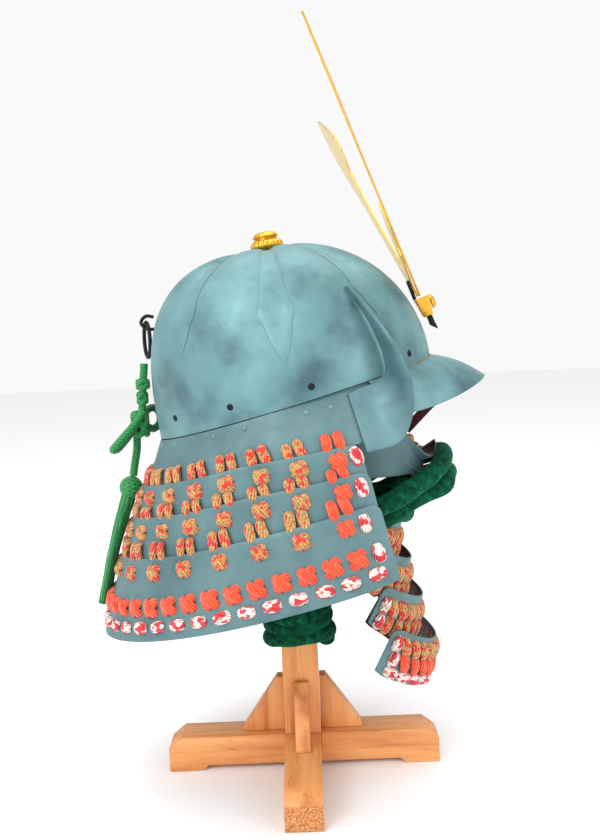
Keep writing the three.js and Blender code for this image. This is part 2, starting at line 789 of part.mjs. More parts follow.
function buildCrest(group) {
  const { base, lean, turn, sweep, thick } = CREST;
  const crest = new THREE.Group();
  crest.position.copy(at(0, base.forward, base.up));
  crest.rotation.set(-rad(lean), 0, rad(turn), 'ZYX');
  group.add(crest);

  const horn = slab(hornOutline(), thick, 5);
  horn.rotateZ(rad(sweep));
  add(crest, 'horn_left', horn, GILT);
  add(crest, 'horn_right', mirrored(horn), GILT);
  const blade = slab(bladeOutline(), thick);
  blade.translate(0, 3.5, 0);
  add(crest, 'crest_blade', blade, GILT);

  const block = loft([rectangle(16, 9, -19), rectangle(30, 14, 0)]);
  add(crest, 'crest_holder', block, GILT);
  const prong = loft([rectangle(6, 3, GAP, 6.2), rectangle(5, 3, 20, 6.2)]);
  add(crest, 'crest_prong', prong, BLACK_IRON);
  const profile = [[0, 0], [7.5, 0], [6.5, 2.5], [4, 4], [0, 4.5]];
  const knob = new THREE.LatheGeometry(profile.map(([r, z]) => new THREE.Vector2(r, z)), 12);
  knob.rotateX(Math.PI);
  knob.translate(0, -7 - GAP, -7);
  add(crest, 'crest_boss', knob, GILT);
  const hook = loft([
    rectangle(9, 5, -19 - GAP, -1),
    rectangle(9, 5, -28, -1),
    [[4.5, -4, -28], [4.5, -4, -34], [-4.5, -4, -34], [-4.5, -4, -28]].map((p) => new THREE.Vector3(...p)),
  ]);
  add(crest, 'crest_hook', hook, BLACK_IRON);
}

// ---------------------------------------------------------------- cords and tassel

/** Route of the velvet cord: up from the knot, three times over or under the chin. */
const CHIN_ROUTE = [
  [-30, 12, 190],
  [-40, 30, 212],
  [-70, 48, 244],
  [-66, 82, 263],
  [-48, 100, 262],
  [-24, 108, 257],
  [0, 110, 256],
  [24, 108, 257],
  [48, 100, 262],
  [66, 76, 260],
  [66, 30, 254],
  [34, -22, 250],
  [0, -36, 250],
  [-34, -22, 252],
  [-68, 30, 256],
  [-72, 68, 256],
  [-68, 88, 263],
  [-54, 116, 277],
  [-38, 144, 285],
  [-22, 149.5, 291],
  [0, 154, 292],
  [22, 149.5, 291],
  [38, 144, 285],
  [54, 116, 277],
  [68, 86, 262],
  [68, 30, 275],
  [34, -22, 272],
  [0, -36, 272],
  [-34, -22, 272],
  [-70, 30, 276],
  [-84, 70, 274],
  [-82, 88, 279],
  [-68, 115, 291],
  [-45.5, 137.5, 302],
  [-22, 147, 309],
  [0, 150, 311],
  [22, 147, 309],
  [45.5, 137.5, 302],
  [68, 115, 291],
  [82, 84, 280],
  [74, 48, 246],
  [30, 12, 190],
];

function buildCords(group) {
  const { radius, sides, steps } = CORD;
  const route = CHIN_ROUTE.map((point) => at(...point));
  add(group, 'chin_cord', cord(route, radius, sides, steps), VELVET);

  const { inner, outer, bottom, turns, pitch } = POST_KNOT;
  const profile = [[inner, bottom]];
  for (let turn = 0; turn < turns; turn++) {
    const low = bottom + turn * pitch;
    profile.push([outer - 5, low], [outer, low + pitch * 0.3], [outer, low + pitch * 0.7]);
  }
  profile.push([outer - 5, bottom + turns * pitch], [inner, bottom + turns * pitch], [inner, bottom]);
  const ring = new THREE.LatheGeometry(profile.map(([r, z]) => new THREE.Vector2(r, z)), 16);
  ring.rotateX(Math.PI / 2);
  add(group, 'post_knot', ring, VELVET);
}

/** Route of the green cord: from the ring through its bow to the tassel's head. */
const TASSEL_ROUTE = [
  [0, -139.5, 411],
  [0, -140.5, 402],
  [0, -142, 392],
  [0, -143, 380],
  [0, -144, 369],
  [-5, -145, 361],
  [-14, -152, 351],
  [-20, -163, 339],
  [-20, -171, 330],
  [-12, -168, 330],
  [-8, -158, 341],
  [-2, -150, 352],
  [8, -144, 362],
  [18, -137, 366],
  [26, -132, 360],
  [26, -132, 350],
  [17, -137, 345],
  [6, -145, 349],
  [0, -150, 342],
  [0, -152, 326],
  [0, -155, 312],
  [0, -157, 301],
];

function buildTassel(group) {
  const { cordRadius, sides, steps, head, skirt, locks } = TASSEL;
  const staple = new THREE.CatmullRomCurve3(
    [at(0, -127.5, 456), at(0, -135, 457), at(0, -140, 451), at(0, -135, 445), at(0, -127.5, 444)],
  );
  add(group, 'ring_staple', cord(staple.points, 1.7, 6, 10), BLACK_IRON);

  const { radius, halfWidth, halfHeight, centre, turn } = RING;
  const ringPath = Array.from({ length: RING.steps }, (_, i) => {
    const angle = (2 * Math.PI * i) / RING.steps;
    return at(halfWidth * Math.cos(angle), 0, halfHeight * Math.sin(angle));
  });
  const loop = new THREE.CatmullRomCurve3(ringPath, true);
  const ring = new THREE.TubeGeometry(loop, RING.steps, radius, 6, true);
  ring.rotateZ(rad(turn));
  ring.translate(0, -centre.forward, centre.up);
  add(group, 'tassel_ring', ring, BLACK_IRON);

  const route = TASSEL_ROUTE.map((point) => at(...point));
  const knots = [
    [route[2], 7],
    [at(0, -147, 352), 11],
  ].map(([place, size]) => new THREE.SphereGeometry(size, 8, 6).translate(place.x, place.y, place.z));
  const green = fused(cord(route, cordRadius, sides, steps), knots);
  add(group, 'tassel_cord', green, GREEN_SILK);

  const ball = new THREE.SphereGeometry(head.radius, 12, 8);
  ball.translate(0, -head.forward, head.up);
  const rings = skirt.map(({ forward, up, halfWidth: wide, halfDepth }) =>
    Array.from({ length: 2 * locks }, (_, i) => {
      const angle = (Math.PI * i) / locks;
      const lock = i % 2 ? 0.86 : 1;
      return at(wide * lock * Math.cos(angle), forward + halfDepth * lock * Math.sin(angle), up);
    }),
  );
  add(group, 'tassel', fused(loft(rings), [ball]), GREEN_SILK);
}

// ---------------------------------------------------------------- assembly

const helmet = new THREE.Group();
helmet.position.copy(at(0, BOWL.pivot.forward, BOWL.pivot.up));
helmet.rotation.x = -rad(BOWL.lean);
root.add(helmet);

const rimGroup = new THREE.Group();
rimGroup.rotation.x = -rad(BOWL.rimLean);
helmet.add(rimGroup);

buildStand(root);
buildBowl(helmet);
buildVisor(rimGroup);
buildGuard(rimGroup);
buildWings(rimGroup);
buildMask(root);
buildThroat(root);
buildCrest(root);
buildCords(root);
buildTassel(root);

// The origin is under the middle of all but the cords and the tassel.
const extent = new THREE.Box3();
root.updateMatrixWorld(true);
root.traverse((node) => {
  if (node.isMesh && !SOFT_NODES.includes(node.name)) extent.expandByObject(node, true);
});
const middle = extent.getCenter(new THREE.Vector3());
root.position.set(-middle.x, -middle.y, -extent.min.z);

export default root;
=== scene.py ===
"""A kabuto, the helmet of a Japanese suit of armour, on its wooden cross stand.

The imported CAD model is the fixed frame. Each class below builds one sub-assembly
of the helmet round it: the lobed bowl, its visor and wings, the laced neck guard,
the half mask with its throat guard, the crest, the cords and the stand.

Sizes are in millimetres in the maker's own axes, with the wearer facing -Y and the
post's axis at x = y = 0. `Placement.row` turns them into metres in the row frame.
"""

from __future__ import annotations

import json
import logging
import math
from dataclasses import dataclass
from enum import Enum
from functools import cache
from typing import Any, Sequence

import bmesh
import bpy
import numpy as np
from mathutils import Matrix, Vector
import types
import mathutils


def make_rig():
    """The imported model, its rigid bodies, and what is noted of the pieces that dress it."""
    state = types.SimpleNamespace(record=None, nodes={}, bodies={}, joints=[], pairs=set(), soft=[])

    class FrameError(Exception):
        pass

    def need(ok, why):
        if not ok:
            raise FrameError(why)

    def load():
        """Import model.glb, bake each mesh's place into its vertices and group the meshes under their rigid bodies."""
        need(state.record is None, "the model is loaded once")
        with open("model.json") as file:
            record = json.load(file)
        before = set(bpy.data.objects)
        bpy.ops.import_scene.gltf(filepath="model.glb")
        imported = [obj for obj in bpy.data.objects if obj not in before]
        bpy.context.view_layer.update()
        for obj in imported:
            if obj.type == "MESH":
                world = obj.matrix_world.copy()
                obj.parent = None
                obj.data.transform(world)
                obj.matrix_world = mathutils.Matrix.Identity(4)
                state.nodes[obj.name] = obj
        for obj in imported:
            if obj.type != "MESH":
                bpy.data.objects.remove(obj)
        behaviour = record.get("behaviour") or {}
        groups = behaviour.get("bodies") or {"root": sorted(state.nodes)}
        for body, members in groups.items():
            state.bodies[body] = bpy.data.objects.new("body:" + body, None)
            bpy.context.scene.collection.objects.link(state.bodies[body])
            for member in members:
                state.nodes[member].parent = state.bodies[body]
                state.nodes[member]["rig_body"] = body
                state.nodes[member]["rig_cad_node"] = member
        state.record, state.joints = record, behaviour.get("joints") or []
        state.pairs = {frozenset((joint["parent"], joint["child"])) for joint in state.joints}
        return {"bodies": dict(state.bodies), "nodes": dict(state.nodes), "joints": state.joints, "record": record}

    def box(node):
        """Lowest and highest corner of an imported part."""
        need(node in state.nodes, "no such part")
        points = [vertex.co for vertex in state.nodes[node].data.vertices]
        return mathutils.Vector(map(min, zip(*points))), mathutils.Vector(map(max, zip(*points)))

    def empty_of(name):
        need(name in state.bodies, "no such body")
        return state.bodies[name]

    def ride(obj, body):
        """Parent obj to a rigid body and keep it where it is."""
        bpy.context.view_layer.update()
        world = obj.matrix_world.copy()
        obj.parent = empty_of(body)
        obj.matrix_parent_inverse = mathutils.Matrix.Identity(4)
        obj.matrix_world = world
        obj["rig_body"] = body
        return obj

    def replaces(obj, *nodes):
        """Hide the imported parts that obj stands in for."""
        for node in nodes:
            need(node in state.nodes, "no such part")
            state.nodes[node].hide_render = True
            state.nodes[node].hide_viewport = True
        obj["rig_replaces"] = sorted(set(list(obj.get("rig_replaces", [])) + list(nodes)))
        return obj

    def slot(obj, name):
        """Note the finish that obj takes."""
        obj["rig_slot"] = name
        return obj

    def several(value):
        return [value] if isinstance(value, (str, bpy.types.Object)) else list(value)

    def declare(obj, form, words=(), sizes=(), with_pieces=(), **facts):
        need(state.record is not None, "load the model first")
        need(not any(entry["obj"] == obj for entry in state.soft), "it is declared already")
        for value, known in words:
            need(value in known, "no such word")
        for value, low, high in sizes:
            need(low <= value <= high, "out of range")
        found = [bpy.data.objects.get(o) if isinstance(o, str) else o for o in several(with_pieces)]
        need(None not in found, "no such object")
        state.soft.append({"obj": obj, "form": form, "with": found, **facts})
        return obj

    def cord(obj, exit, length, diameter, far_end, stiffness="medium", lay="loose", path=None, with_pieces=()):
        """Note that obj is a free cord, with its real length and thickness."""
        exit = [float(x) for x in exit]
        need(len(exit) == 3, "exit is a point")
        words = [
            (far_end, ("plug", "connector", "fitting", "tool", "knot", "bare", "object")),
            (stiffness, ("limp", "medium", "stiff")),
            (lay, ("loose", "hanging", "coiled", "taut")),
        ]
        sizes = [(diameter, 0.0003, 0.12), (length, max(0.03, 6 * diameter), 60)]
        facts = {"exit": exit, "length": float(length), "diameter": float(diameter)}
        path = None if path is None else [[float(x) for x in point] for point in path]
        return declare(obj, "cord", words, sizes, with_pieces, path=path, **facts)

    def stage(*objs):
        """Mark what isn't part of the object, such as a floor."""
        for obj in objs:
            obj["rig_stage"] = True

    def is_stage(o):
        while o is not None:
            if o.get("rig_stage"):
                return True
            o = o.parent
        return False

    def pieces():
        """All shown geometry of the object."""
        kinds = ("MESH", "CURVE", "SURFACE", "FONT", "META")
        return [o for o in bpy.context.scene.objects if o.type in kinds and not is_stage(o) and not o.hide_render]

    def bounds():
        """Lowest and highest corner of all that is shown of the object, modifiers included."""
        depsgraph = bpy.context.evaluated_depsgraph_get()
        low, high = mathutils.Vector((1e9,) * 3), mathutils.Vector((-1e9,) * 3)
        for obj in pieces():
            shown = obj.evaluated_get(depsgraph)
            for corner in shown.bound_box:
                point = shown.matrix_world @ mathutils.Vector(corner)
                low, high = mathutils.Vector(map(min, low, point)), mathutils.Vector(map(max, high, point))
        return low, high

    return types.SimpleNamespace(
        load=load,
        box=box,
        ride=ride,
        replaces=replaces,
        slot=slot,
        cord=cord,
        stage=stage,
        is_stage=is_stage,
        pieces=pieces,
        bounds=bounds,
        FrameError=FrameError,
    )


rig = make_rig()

LOG = logging.getLogger("kabuto")
MM = 0.001
BODY = "root"
SIZE_FILE = "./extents.json"
Array = np.ndarray


class Slot(Enum):
    """The record's material slots."""

    PATINA = "patina_plate"
    SLATE = "slate_plate"
    GILT = "gilt"
    IRON = "black_iron"
    WOOD = "wood"
    VELVET = "green_velvet"
    SILK = "green_silk"
    MAROON = "maroon_cloth"


# ------------------------------------------------------------------ places


@dataclass(frozen=True)
class Placement:
    """Where a sub-assembly's own axes stand: an origin and a tilt about X."""

    forward: float = 0.0
    up: float = 0.0
    tilt: float = 0.0

    def design(self, points: Array) -> Array:
        """Takes points from these axes to the design's.

        Args:
            points: Points in millimetres, as (..., 3).

        Returns:
            The same points in the design's axes, in millimetres.
        """
        angle = math.radians(self.tilt)
        cos, sin = math.cos(angle), math.sin(angle)
        x, y, z = points[..., 0], points[..., 1], points[..., 2]
        turned = np.stack([x, y * cos - z * sin, y * sin + z * cos], -1)
        return turned + np.array([0.0, -self.forward, self.up])

    def row(self, points: Array) -> Array:
        """Takes points from these axes to the row frame.

        Args:
            points: Points in millimetres, as (..., 3).

        Returns:
            The same points in the row frame, in metres.
        """
        return (self.design(np.asarray(points, float)) + row_shift()) * MM


@cache
def row_shift() -> Any:
    """Millimetres from the design's axes to the row frame's, read off the post."""
    low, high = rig.box("post")
    return np.array([(low.x + high.x) / 2, (low.y + high.y) / 2, 0.0]) / MM


DESIGN = Placement()
HELMET = Placement(forward=6.5, up=374.0, tilt=-8.0)
RIM = Placement(forward=6.5, up=374.0, tilt=-15.0)


def at(side: Any, forward: Any, up: Any) -> Array:
    """Points given as distances to the wearer's left, forward and up.

    Args:
        side: Distance to the left, a number or an array.
        forward: Distance forward, a number or an array.
        up: Height, a number or an array.

    Returns:
        The points as (..., 3).
    """
    side, forward, up = np.broadcast_arrays(*(np.asarray(v, float) for v in (side, forward, up)))
    return np.stack([side, -forward, up], -1)


def unit(vectors: Array) -> Array:
    """The vectors at length 1."""
    return vectors / np.maximum(np.linalg.norm(vectors, axis=-1, keepdims=True), 1e-12)


def catmull(points: Sequence[Sequence[float]], shares: Array) -> Array:
    """Points of a centripetal Catmull-Rom curve.

    Args:
        points: The points that the curve runs through.
        shares: Places along it from 0 to 1, spread evenly over its spans.

    Returns:
        One point for each share.
    """
    knots = np.asarray(points, float)
    padded = np.vstack([2 * knots[0] - knots[1], knots, 2 * knots[-1] - knots[-2]])
    place = np.clip(shares, 0, 1) * (len(knots) - 1)
    span = np.minimum(place.astype(int), len(knots) - 2)
    w = (place - span)[:, None]
    p0, p1, p2, p3 = (padded[span + k] for k in range(4))
    d0, d1, d2 = (
        np.sqrt(np.maximum(np.linalg.norm(b - a, axis=1, keepdims=True), 1e-8))
        for a, b in ((p0, p1), (p1, p2), (p2, p3))
    )
    t1 = ((p1 - p0) / d0 - (p2 - p0) / (d0 + d1) + (p2 - p1) / d1) * d1
    t2 = ((p2 - p1) / d1 - (p3 - p1) / (d1 + d2) + (p3 - p2) / d2) * d1
    square = -3 * p1 + 3 * p2 - 2 * t1 - t2
    return p1 + w * (t1 + w * (square + w * (2 * p1 - 2 * p2 + t1 + t2)))


def evenly(path: Array, count: int) -> Array:
    """The same path with its points evenly spaced.

    Args:
        path: Points close together.
        count: How many points to keep.

    Returns:
        The points, from the path's start to its end.
    """
    steps = np.linalg.norm(np.diff(path, axis=0), axis=1)
    run = np.concatenate([[0.0], np.cumsum(steps)])
    wanted = np.linspace(0, run[-1], count)
    return np.stack([np.interp(wanted, run, path[:, k]) for k in range(3)], -1)


def smooth(points: Sequence[Sequence[float]], count: int) -> Array:
    """A smooth route through points, evenly spaced.

    Args:
        points: The points that the route runs through.
        count: How many points to give.

    Returns:
        The route's points.
    """
    return evenly(catmull(points, np.linspace(0, 1, 12 * count)), count)


def path_length(path: Array) -> float:
    """Length of a path, in the unit of its points."""
    return float(np.linalg.norm(np.diff(path, axis=0), axis=1).sum())


# ------------------------------------------------------------------ meshes


def surface_mesh(
    name: str,
    grid: Array,
    centre: Sequence[float] | None = None,
    caps: bool = False,
    uv: Array | None = None,
) -> bpy.types.Object:
    """Makes an object from rows of points, in metres.

    Rows whose first and last points meet are closed, and so is a row that is all
    one point.

    Args:
        name: The object's name.
        grid: Points as (rows, columns, 3).
        centre: For an open skin, a point that its faces point away from.
        caps: Whether open ends are filled.
        uv: The UV map's values as (rows, columns, 2).

    Returns:
        The object, linked to the scene.
    """
    rows, columns = grid.shape[:2]
    index = np.arange(rows * columns).reshape(rows, columns)
    quads = np.stack([index[:-1, :-1], index[:-1, 1:], index[1:, 1:], index[1:, :-1]], -1)
    quads = quads.reshape(-1, 4)
    mesh = bpy.data.meshes.new(name)
    mesh.from_pydata(grid.reshape(-1, 3).tolist(), [], quads.tolist())
    if uv is not None:
        layer = mesh.uv_layers.new(name="UVMap")
        layer.data.foreach_set("uv", uv.reshape(-1, 2)[quads.ravel()].astype(np.float32).ravel())
    work = bmesh.new()
    work.from_mesh(mesh)
    bmesh.ops.remove_doubles(work, verts=work.verts, dist=2e-6)
    if caps:
        bmesh.ops.holes_fill(work, edges=[e for e in work.edges if e.is_boundary])
    if centre is None:
        bmesh.ops.recalc_face_normals(work, faces=work.faces)
    else:
        middle = Vector(centre)
        facing = sum(f.normal.dot(f.calc_center_median() - middle) * f.calc_area() for f in work.faces)
        if facing < 0:
            bmesh.ops.reverse_faces(work, faces=work.faces)
    for face in work.faces:
        face.smooth = True
    work.to_mesh(mesh)
    work.free()
    return linked(name, mesh)


def linked(name: str, mesh: bpy.types.Mesh) -> bpy.types.Object:
    """Puts a mesh in the scene as an object of that name."""
    piece = bpy.data.objects.new(name, mesh)
    bpy.context.scene.collection.objects.link(piece)
    return piece


def settled(piece: bpy.types.Object, sharp: float = 40.0) -> bpy.types.Object:
    """Turns a piece's modifiers into a plain mesh.

    Args:
        piece: The object, with its modifiers.
        sharp: Edges that turn by more than this many degrees stay sharp.

    Returns:
        The same object with a plain mesh and no modifiers.
    """
    graph = bpy.context.evaluated_depsgraph_get()
    mesh = bpy.data.meshes.new_from_object(piece.evaluated_get(graph))
    piece.modifiers.clear()
    old, piece.data = piece.data, mesh
    mesh.name = piece.name
    bpy.data.meshes.remove(old)
    mesh.shade_smooth()
    mesh.set_sharp_from_angle(angle=math.radians(sharp))
    return piece


def thicken(piece: bpy.types.Object, wall: float, outward: bool = False, edge: float = 0.35) -> None:
    """Gives an open skin a wall and eases its edges.

    Args:
        piece: The skin; its second material, if any, goes on the inside.
        wall: The wall's thickness in millimetres.
        outward: Whether the wall is added outside the skin.
        edge: Width of the eased edge in millimetres.
    """
    modifier = piece.modifiers.new("Wall", "SOLIDIFY")
    modifier.thickness = wall * MM
    modifier.offset = 1 if outward else -1
    modifier.use_even_offset = True
    modifier.material_offset = 1
    ease(piece, edge)


def ease(piece: bpy.types.Object, width: float, segments: int = 2) -> None:
    """Adds a bevel to a piece's sharp edges, its width in millimetres."""
    modifier = piece.modifiers.new("Eased edge", "BEVEL")
    modifier.width = width * MM
    modifier.segments = segments
    modifier.limit_method = "ANGLE"
    modifier.angle_limit = math.radians(50)
    modifier.harden_normals = False


def tube(
    name: str,
    path: Array,
    radii: Array | float,
    sides: int = 16,
    closed: bool = False,
    flat: float = 1.0,
    lie: Sequence[float] | None = None,
) -> bpy.types.Object:
    """Makes a tube round a path, with a UV map of millimetres along and share round.

    Args:
        name: The object's name.
        path: The centreline's points in metres.
        radii: The radius in metres, one for all, (points,) or (points, sides + 1).
        sides: How many sides the tube has.
        closed: Whether the path is a loop whose last point is its first.
        flat: Height of the section over its width.
        lie: The direction that the section's height follows, if it is flattened.

    Returns:
        The object.
    """
    ahead = unit(np.gradient(path, axis=0))
    if closed:
        ends = unit(path[1] - path[-2])
        ahead[0] = ahead[-1] = ends
    heights = np.zeros_like(path)
    height = np.array(lie if lie is not None else (0.31, 0.42, 0.85), float)
    for i, direction in enumerate(ahead):
        base = np.array(lie, float) if lie is not None else height
        height = unit(base - base.dot(direction) * direction)
        heights[i] = height
    if closed:
        heights[-1] = heights[0]
    widths = np.cross(ahead, heights)
    turn = np.linspace(0, 2 * math.pi, sides + 1)
    radii = radii if np.ndim(radii) == 2 else np.reshape(radii, (-1, 1))
    across = (np.cos(turn) * radii)[..., None] * widths[:, None, :]
    upward = (np.sin(turn) * radii * flat)[..., None] * heights[:, None, :]
    grid = path[:, None, :] + across + upward
    run = np.concatenate([[0], np.cumsum(np.linalg.norm(np.diff(path, axis=0), axis=1))]) / MM
    uv = np.stack(np.broadcast_arrays(run[:, None], np.linspace(0, 1, sides + 1)[None, :]), -1)
    return surface_mesh(name, grid, caps=not closed, uv=uv)


def joined(name: str, parts: Sequence[bpy.types.Object]) -> bpy.types.Object:
    """Joins objects with plain meshes into one.

    Args:
        name: The new object's name.
        parts: The objects, which are removed.

    Returns:
        The joined object, with the first part's materials.
    """
    work = bmesh.new()
    for part in parts:
        work.from_mesh(part.data)
    mesh = bpy.data.meshes.new(name)
    work.to_mesh(mesh)
    work.free()
    for material in parts[0].data.materials:
        mesh.materials.append(material)
    for part in parts:
        bpy.data.objects.remove(part)
    return linked(name, mesh)


def outline_plate(name: str, outline: Array, thick: float, edge: float = 0.3) -> bpy.types.Object:
    """Makes a flat plate from its outline, in millimetres.

    Args:
        name: The object's name.
        outline: Points as (n, 2), side and up.
        thick: The plate's thickness, half to each side of y = 0.
        edge: Width of the eased edge.

    Returns:
        The plate, with its first material on the front and rim and its second on
        the back.
    """
    work = bmesh.new()
    verts = [work.verts.new((x * MM, thick * MM / 2, z * MM)) for x, z in outline]
    face = work.faces.new(verts)
    work.normal_update()
    if face.normal.y < 0:
        bmesh.ops.reverse_faces(work, faces=[face])
    bmesh.ops.triangulate(work, faces=work.faces[:])
    mesh = bpy.data.meshes.new(name)
    work.to_mesh(mesh)
    work.free()
    piece = linked(name, mesh)
    modifier = piece.modifiers.new("Thickness", "SOLIDIFY")
    modifier.thickness = thick * MM
    modifier.offset = -1
    modifier.material_offset = 1
    modifier.material_offset_rim = 1
    ease(piece, edge)
    return piece


def moved(piece: bpy.types.Object, matrix: Matrix) -> bpy.types.Object:
    """Moves a piece's mesh, leaving its object at the origin."""
    piece.data.transform(matrix)
    if matrix.determinant() < 0:
        piece.data.flip_normals()
    return piece


def dress(
    piece: bpy.types.Object, slot: Slot, *finishes: Finish, node: str | None = None
) -> bpy.types.Object:
    """Gives a piece its finishes and its slot, and puts it on the body.

    Args:
        piece: The object.
        slot: The record's slot that its finish comes from.
        *finishes: Its finishes in order; none keeps the materials that it has.
        node: The CAD node that it stands for, if any.

    Returns:
        The same object.
    """
    if finishes:
        piece.data.materials.clear()
        for finish in finishes:
            piece.data.materials.append(material_of(finish))
    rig.ride(piece, BODY)
    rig.slot(piece, slot.value)
    LOG.info("%s: %d faces", piece.name, len(piece.data.polygons))
    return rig.replaces(piece, node) if node else piece


def walled(
    name: str,
    node: str,
    grid: Array,
    centre: Array,
    wall: float,
    slot: Slot,
    *finishes: Finish,
    sharp: float = 40.0,
) -> bpy.types.Object:
    """Makes the plate that stands for a CAD node from its outer skin.

    Args:
        name: The plate's name.
        node: The CAD node.
        grid: The skin's points in metres, as (rows, columns, 3).
        centre: A point that the skin's faces point away from.
        wall: The thickness of the wall behind the skin, in millimetres.
        slot: The record's slot that its finish comes from.
        *finishes: The finish of the skin and of the inside.
        sharp: Edges that turn by more than this many degrees stay sharp.

    Returns:
        The plate.
    """
    piece = dress(surface_mesh(name, grid, centre=centre), slot, *finishes)
    thicken(piece, wall)
    settled(piece, sharp)
    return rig.replaces(piece, node)


# ------------------------------------------------------------------ repeats


def add_node(
    tree: bpy.types.NodeTree,
    kind: str,
    settings: dict[str, Any] | None = None,
    inputs: dict[Any, Any] | None = None,
) -> bpy.types.Node:
    """Adds a node with its settings, values and links.

    Args:
        tree: The tree that it goes in.
        kind: The node's type.
        settings: Properties to set on it.
        inputs: For each input, by name or number, a value or a socket to link.

    Returns:
        The node.
    """
    node = tree.nodes.new(kind)
    for key, value in (settings or {}).items():
        setattr(node, key, value)
    feed(tree, node, inputs or {})
    return node


def feed(tree: bpy.types.NodeTree, node: bpy.types.Node, inputs: dict[Any, Any]) -> None:
    """Gives a node's inputs, by name or number, a value or a socket to link."""
    for key, value in inputs.items():
        if isinstance(value, bpy.types.NodeSocket):
            tree.links.new(value, node.inputs[key])
        else:
            node.inputs[key].default_value = value


def calc(tree: bpy.types.NodeTree, operation: str, *values: Any) -> Any:
    """A Math node on numbers or sockets, and gives its socket."""
    return add_node(tree, "ShaderNodeMath", {"operation": operation}, dict(enumerate(values))).outputs[0]


def random_of(tree: bpy.types.NodeTree, seed: Any, low: Any = 0.0, high: Any = 1.0) -> Any:
    """A random number for each element, and gives its socket."""
    # a FLOAT random value keeps its own sockets behind the vector ones
    inputs = {2: low, 3: high, "Seed": seed}
    return add_node(tree, "FunctionNodeRandomValue", {"data_type": "FLOAT"}, inputs).outputs[1]


def stored(tree: bpy.types.NodeTree, geometry: Any, domain: str, name: str, value: Any) -> Any:
    """Keeps a number on a geometry under a name, and gives the geometry's socket."""
    settings = {"data_type": "FLOAT", "domain": domain}
    inputs = {"Geometry": geometry, "Name": name, "Value": value}
    return add_node(tree, "GeometryNodeStoreNamedAttribute", settings, inputs).outputs[0]


def repeat_tree(name: str, inputs: dict[str, tuple[str, Any]]) -> tuple[bpy.types.NodeTree, Any]:
    """Starts a tree that takes a geometry, its own inputs and a finish.

    Args:
        name: The tree's name.
        inputs: The kind and first value of each of its own inputs.

    Returns:
        The tree and the sockets of all its inputs.
    """
    tree = bpy.data.node_groups.new(name, "GeometryNodeTree")
    rows = {"Geometry": ("Geometry", None), **inputs, "Finish": ("Material", None)}
    for label, (kind, value) in rows.items():
        item = tree.interface.new_socket(name=label, in_out="INPUT", socket_type=f"NodeSocket{kind}")
        if value is not None:
            item.default_value = value
    tree.interface.new_socket(name="Geometry", in_out="OUTPUT", socket_type="NodeSocketGeometry")
    return tree, add_node(tree, "NodeGroupInput").outputs


def finish_tree(tree: bpy.types.NodeTree, geometry: Any, given: Any) -> bpy.types.NodeTree:
    """Ends a tree: makes its instances real and gives them the finish."""
    real = add_node(tree, "GeometryNodeRealizeInstances", {}, {"Geometry": geometry})
    inputs = {"Geometry": real.outputs[0], "Material": given["Finish"]}
    dressed = add_node(tree, "GeometryNodeSetMaterial", {}, inputs)
    add_node(tree, "NodeGroupOutput", {}, {"Geometry": dressed.outputs[0]})
    return tree


@cache
def stamping_tree() -> bpy.types.NodeTree:
    """Builds the tree that sets one shape at every point of a mesh.

    Returns:
        The tree. Its points carry `facing` and `along`, and each shape that it
        sets carries its own random `shade` from 0 to 1.
    """
    own = {
        "Shape": ("Object", None),
        "Size": ("Float", 1.0),
        "Size Spread": ("Float", 0.0),
        "Turn Spread": ("Float", 0.0),
        "Seed": ("Int", 1),
    }
    tree, given = repeat_tree("Stamp along points", own)
    facing, along = (
        add_node(
            tree, "GeometryNodeInputNamedAttribute", {"data_type": "FLOAT_VECTOR"}, {"Name": name}
        ).outputs[0]
        for name in ("facing", "along")
    )
    stance = add_node(
        tree,
        "FunctionNodeAxesToRotation",
        {"primary_axis": "Z", "secondary_axis": "X"},
        {"Primary Axis": facing, "Secondary Axis": along},
    )
    turn, change, seed = given["Turn Spread"], given["Size Spread"], given["Seed"]
    swing = random_of(tree, seed, calc(tree, "MULTIPLY", turn, -1.0), turn)
    about = add_node(tree, "FunctionNodeAxisAngleToRotation", {}, {"Axis": (0, 0, 1), "Angle": swing})
    turned = add_node(
        tree,
        "FunctionNodeRotateRotation",
        {"rotation_space": "LOCAL"},
        {0: stance.outputs[0], 1: about.outputs[0]},
    )
    small, large = (calc(tree, way, 1.0, change) for way in ("SUBTRACT", "ADD"))
    spread = random_of(tree, calc(tree, "ADD", seed, 1.0), small, large)
    shape = add_node(tree, "GeometryNodeObjectInfo", {}, {"Object": given["Shape"]})
    stamps = add_node(
        tree,
        "GeometryNodeInstanceOnPoints",
        {},
        {
            "Points": given["Geometry"],
            "Instance": shape.outputs["Geometry"],
            "Rotation": turned.outputs[0],
            "Scale": calc(tree, "MULTIPLY", given["Size"], spread),
        },
    )
    shade = random_of(tree, calc(tree, "ADD", seed, 2.0))
    return finish_tree(tree, stored(tree, stamps.outputs[0], "INSTANCE", "shade", shade), given)


